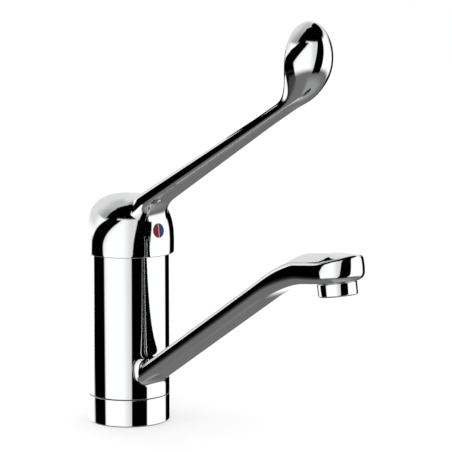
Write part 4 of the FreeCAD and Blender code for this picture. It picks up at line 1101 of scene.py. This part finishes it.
# Finishes of the inner parts: name, colour, roughness, settings, and the nodes that wear them.
PLASTIC = dict(coarse=160, fine=3200, rough_spread=0.3, tone_spread=0.2, bump=0.25)
INNER_FINISHES = (
    ("turned brass", (0.70, 0.50, 0.24), 0.28,
     dict(metallic=1.0, coarse=90, fine=1400, rough_spread=0.35, tone_spread=0.35, bump=0.35,
          turned=3.0),
     ("inner_body", "cartridge_nut")),
    ("pressed steel", (0.60, 0.61, 0.62), 0.24,
     dict(metallic=1.0, coarse=140, fine=1800, rough_spread=0.3, tone_spread=0.2, bump=0.25,
          turned=1.0),
     ("cartridge_shroud",)),
    ("bright steel", (0.63, 0.635, 0.64), 0.2,
     dict(metallic=1.0, coarse=200, fine=2400, rough_spread=0.3, tone_spread=0.15, bump=0.2),
     ("spout_retaining_ring", "swivel_stop_pin", "lever_pivot_pin", "lever_stem",
      "lever_grub_screw")),
    ("swivel ring plastic", (0.80, 0.79, 0.74), 0.42, PLASTIC,
     ("lower_slide_ring", "upper_slide_ring")),
    ("cartridge plastic", (0.60, 0.61, 0.60), 0.38, PLASTIC,
     ("cartridge_base", "cartridge_housing")),
    ("rotor plastic", (0.045, 0.047, 0.05), 0.36, PLASTIC, ("cartridge_rotor", "disc_carrier")),
    ("outlet insert plastic", (0.62, 0.64, 0.66), 0.4, PLASTIC, ("aerator_insert",)),
    ("seal rubber", (0.028, 0.028, 0.03), 0.62,
     dict(coarse=220, fine=2600, rough_spread=0.4, tone_spread=0.5, bump=0.4),
     ("base_gasket", "lower_spout_seal", "upper_spout_seal", "cartridge_port_seals",
      "aerator_washer")),
    ("disc ceramic", (0.86, 0.85, 0.82), 0.14,
     dict(coarse=120, fine=2200, rough_spread=0.12, tone_spread=0.08, bump=0.05),
     ("fixed_ceramic_disc", "moving_ceramic_disc")),
    ("screen steel", (0.58, 0.58, 0.57), 0.3,
     dict(metallic=1.0, coarse=300, fine=5200, rough_spread=0.4, tone_spread=0.4, bump=0.8),
     ("aerator_screen",)),
)


class FinishHiddenParts(bpy.types.Operator):
    """Give the parts inside the tap their own finishes."""

    bl_idname = "sink_tap.finish_hidden_parts"
    bl_label = "Finishes of the inner parts"
    bl_options = {"REGISTER", "UNDO"}

    def execute(self, context):
        for name, colour, roughness, settings, nodes in INNER_FINISHES:
            dress_nodes(finish(name, colour, roughness, **settings), nodes)
        return {"FINISHED"}


class MakeColumn(bpy.types.Operator):
    """Make the chrome plating, the foot ring and the tall swivel sleeve."""

    bl_idname = "sink_tap.make_column"
    bl_label = "Foot ring and sleeve"
    bl_options = {"REGISTER", "UNDO"}

    def execute(self, context):
        looks = context.scene.sink_tap_finish
        sizes = context.scene.sink_tap_sizes
        chrome = finish("chrome plating", looks.chrome_colour, looks.chrome_roughness,
                        metallic=1.0, coarse=45, fine=700, rough_spread=0.03, tone_spread=0.02,
                        ripple=2.0, bump=0.02, depth=0.00001)
        dress_nodes(chrome, ("base_ring", "spout_body", "aerator_shell", "lever"))
        foot = turned_piece("foot_ring", edged(
            SLEEVE_RADIUS, FOOT_BOTTOM, sizes.foot_height / MM, FOOT_LOW_ROUND, FOOT_HIGH_ROUND,
            FOOT_BORE))
        dress(foot, chrome, "column", "chrome_plate", "base_ring")
        sleeve = turned_piece("swivel_sleeve", edged(
            SLEEVE_RADIUS, (sizes.foot_height + sizes.seam_gap) / MM, sizes.sleeve_top / MM,
            SLEEVE_LOW_ROUND, SLEEVE_HIGH_ROUND, SLEEVE_BORE))
        dress(sleeve, chrome, "spout", "chrome_plate")
        return {"FINISHED"}


class MakeSpout(bpy.types.Operator):
    """Make the cast spout with its crowned head, and the round outlet under it."""

    bl_idname = "sink_tap.make_spout"
    bl_label = "Spout and outlet"
    bl_options = {"REGISTER", "UNDO"}

    def execute(self, context):
        chrome = bpy.data.materials["chrome plating"]
        rings = rooted(spout_rings(), RoundWall(), SPOUT_FLARE, SPOUT_SINK)
        spout = ring_skin("cast_spout", rings, pole_start=True, sharp=CASTING_SHARP)
        dress(spout, chrome, "spout", "chrome_plate", "spout_body")
        nozzle = turned_piece("outlet_nozzle", NOZZLE_OUTLINE, frame_of=at_outlet)
        dress(nozzle, chrome, "spout", "chrome_plate")
        shell = turned_piece("outlet_shell", shell_outline(), frame_of=at_outlet)
        dress(shell, chrome, "spout", "chrome_plate", "aerator_shell")
        return {"FINISHED"}


class MakeLever(bpy.types.Operator):
    """Make the domed cap and the long lever that grows out of it."""

    bl_idname = "sink_tap.make_lever"
    bl_label = "Lever, cap and paddle"
    bl_options = {"REGISTER", "UNDO"}

    def execute(self, context):
        chrome = bpy.data.materials["chrome plating"]
        rings = [round_ring(radius, height, CAP_MIDDLE.x) for radius, height in cap_outline()]
        cap = ring_skin("lever_cap", rings, pole_start=True, pole_end=True, sharp=CAP_SHARP)
        dress(cap, chrome, "lever", "chrome_plate")
        rings = rooted(lever_rings(), DomedCap(), LEVER_FLARE, LEVER_SINK)
        lever = ring_skin("cast_lever", rings, pole_start=True, pole_end=True,
                          sharp=CASTING_SHARP)
        dress(lever, chrome, "lever", "chrome_plate", "lever")
        return {"FINISHED"}


class MakeMarker(bpy.types.Operator):
    """Make the round marker on the front of the cap, with its hot and cold halves."""

    bl_idname = "sink_tap.make_marker"
    bl_label = "Hot and cold marker"
    bl_options = {"REGISTER", "UNDO"}

    def execute(self, context):
        looks = context.scene.sink_tap_finish
        sizes = context.scene.sink_tap_sizes
        radius = sizes.marker_radius / MM
        height = sizes.marker_height / MM
        rim = finish("marker rim", (0.80, 0.80, 0.80), 0.3, coarse=300, fine=3000,
                     rough_spread=0.2, tone_spread=0.1, bump=0.1)
        dress_nodes(rim, ("index_plug",))
        plug = marker_piece("marker_plug", full_round(radius), 0.0, height, PLUG_RISE)
        dress(plug, rim, "lever", "marker_rim", "index_plug")
        for name, side, label, colour, slot, node in (
                ("marker_hot", -1, "hot enamel", looks.hot_colour, "hot_red",
                 "index_hot_half"),
                ("marker_cold", 1, "cold enamel", looks.cold_colour, "cold_blue",
                 "index_cold_half")):
            enamel = finish(label, colour, 0.22, coarse=300, fine=2600, rough_spread=0.15,
                            tone_spread=0.25, bump=0.08, Specular_IOR_Level=0.15)
            dress_nodes(enamel, (node,))
            half = marker_piece(name, half_round(radius, side), side * HALF_MIDDLE, height,
                                HALF_RISE)
            dress(half, enamel, "lever", slot, node)
        return {"FINISHED"}


class CheckFinishes(bpy.types.Operator):
    """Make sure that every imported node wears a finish."""

    bl_idname = "sink_tap.check_finishes"
    bl_label = "Check the finishes"
    bl_options = {"REGISTER"}

    def execute(self, context):
        bare = [name for name, node in NODES.items()
                if not node.data.materials or node.data.materials[0] is None]
        if bare:
            raise RuntimeError("no finish on " + ", ".join(bare))
        return {"FINISHED"}


STEPS = ("make_stage", "finish_hidden_parts", "make_column", "make_spout", "make_lever",
         "make_marker", "check_finishes")


class SINK_TAP_PT_sidebar(bpy.types.Panel):
    """Sidebar panel that lists the settings, and the steps in order."""

    bl_label = "Sink Tap"
    bl_idname = "SINK_TAP_PT_sidebar"
    bl_space_type = "VIEW_3D"
    bl_region_type = "UI"
    bl_category = "Sink Tap"

    def draw(self, context):
        column = self.layout.column()
        scene = context.scene
        for holder in (scene.sink_tap_sizes, scene.sink_tap_finish, scene.sink_tap_stage):
            for name in holder.__annotations__:
                column.prop(holder, name)
        for name in STEPS:
            column.operator("sink_tap." + name)


CLASSES = (SinkTapSizes, SinkTapFinish, SinkTapStage, MakeStage, FinishHiddenParts, MakeColumn,
           MakeSpout, MakeLever, MakeMarker, CheckFinishes, SINK_TAP_PT_sidebar)


def register():
    for cls in CLASSES:
        bpy.utils.register_class(cls)
    bpy.types.Scene.sink_tap_sizes = bpy.props.PointerProperty(type=SinkTapSizes)
    bpy.types.Scene.sink_tap_finish = bpy.props.PointerProperty(type=SinkTapFinish)
    bpy.types.Scene.sink_tap_stage = bpy.props.PointerProperty(type=SinkTapStage)


def unregister():
    del bpy.types.Scene.sink_tap_stage
    del bpy.types.Scene.sink_tap_finish
    del bpy.types.Scene.sink_tap_sizes
    for cls in reversed(CLASSES):
        bpy.utils.unregister_class(cls)


def main():
    register()
    for step in STEPS:
        getattr(bpy.ops.sink_tap, step)()


if __name__ == "__main__":
    main()
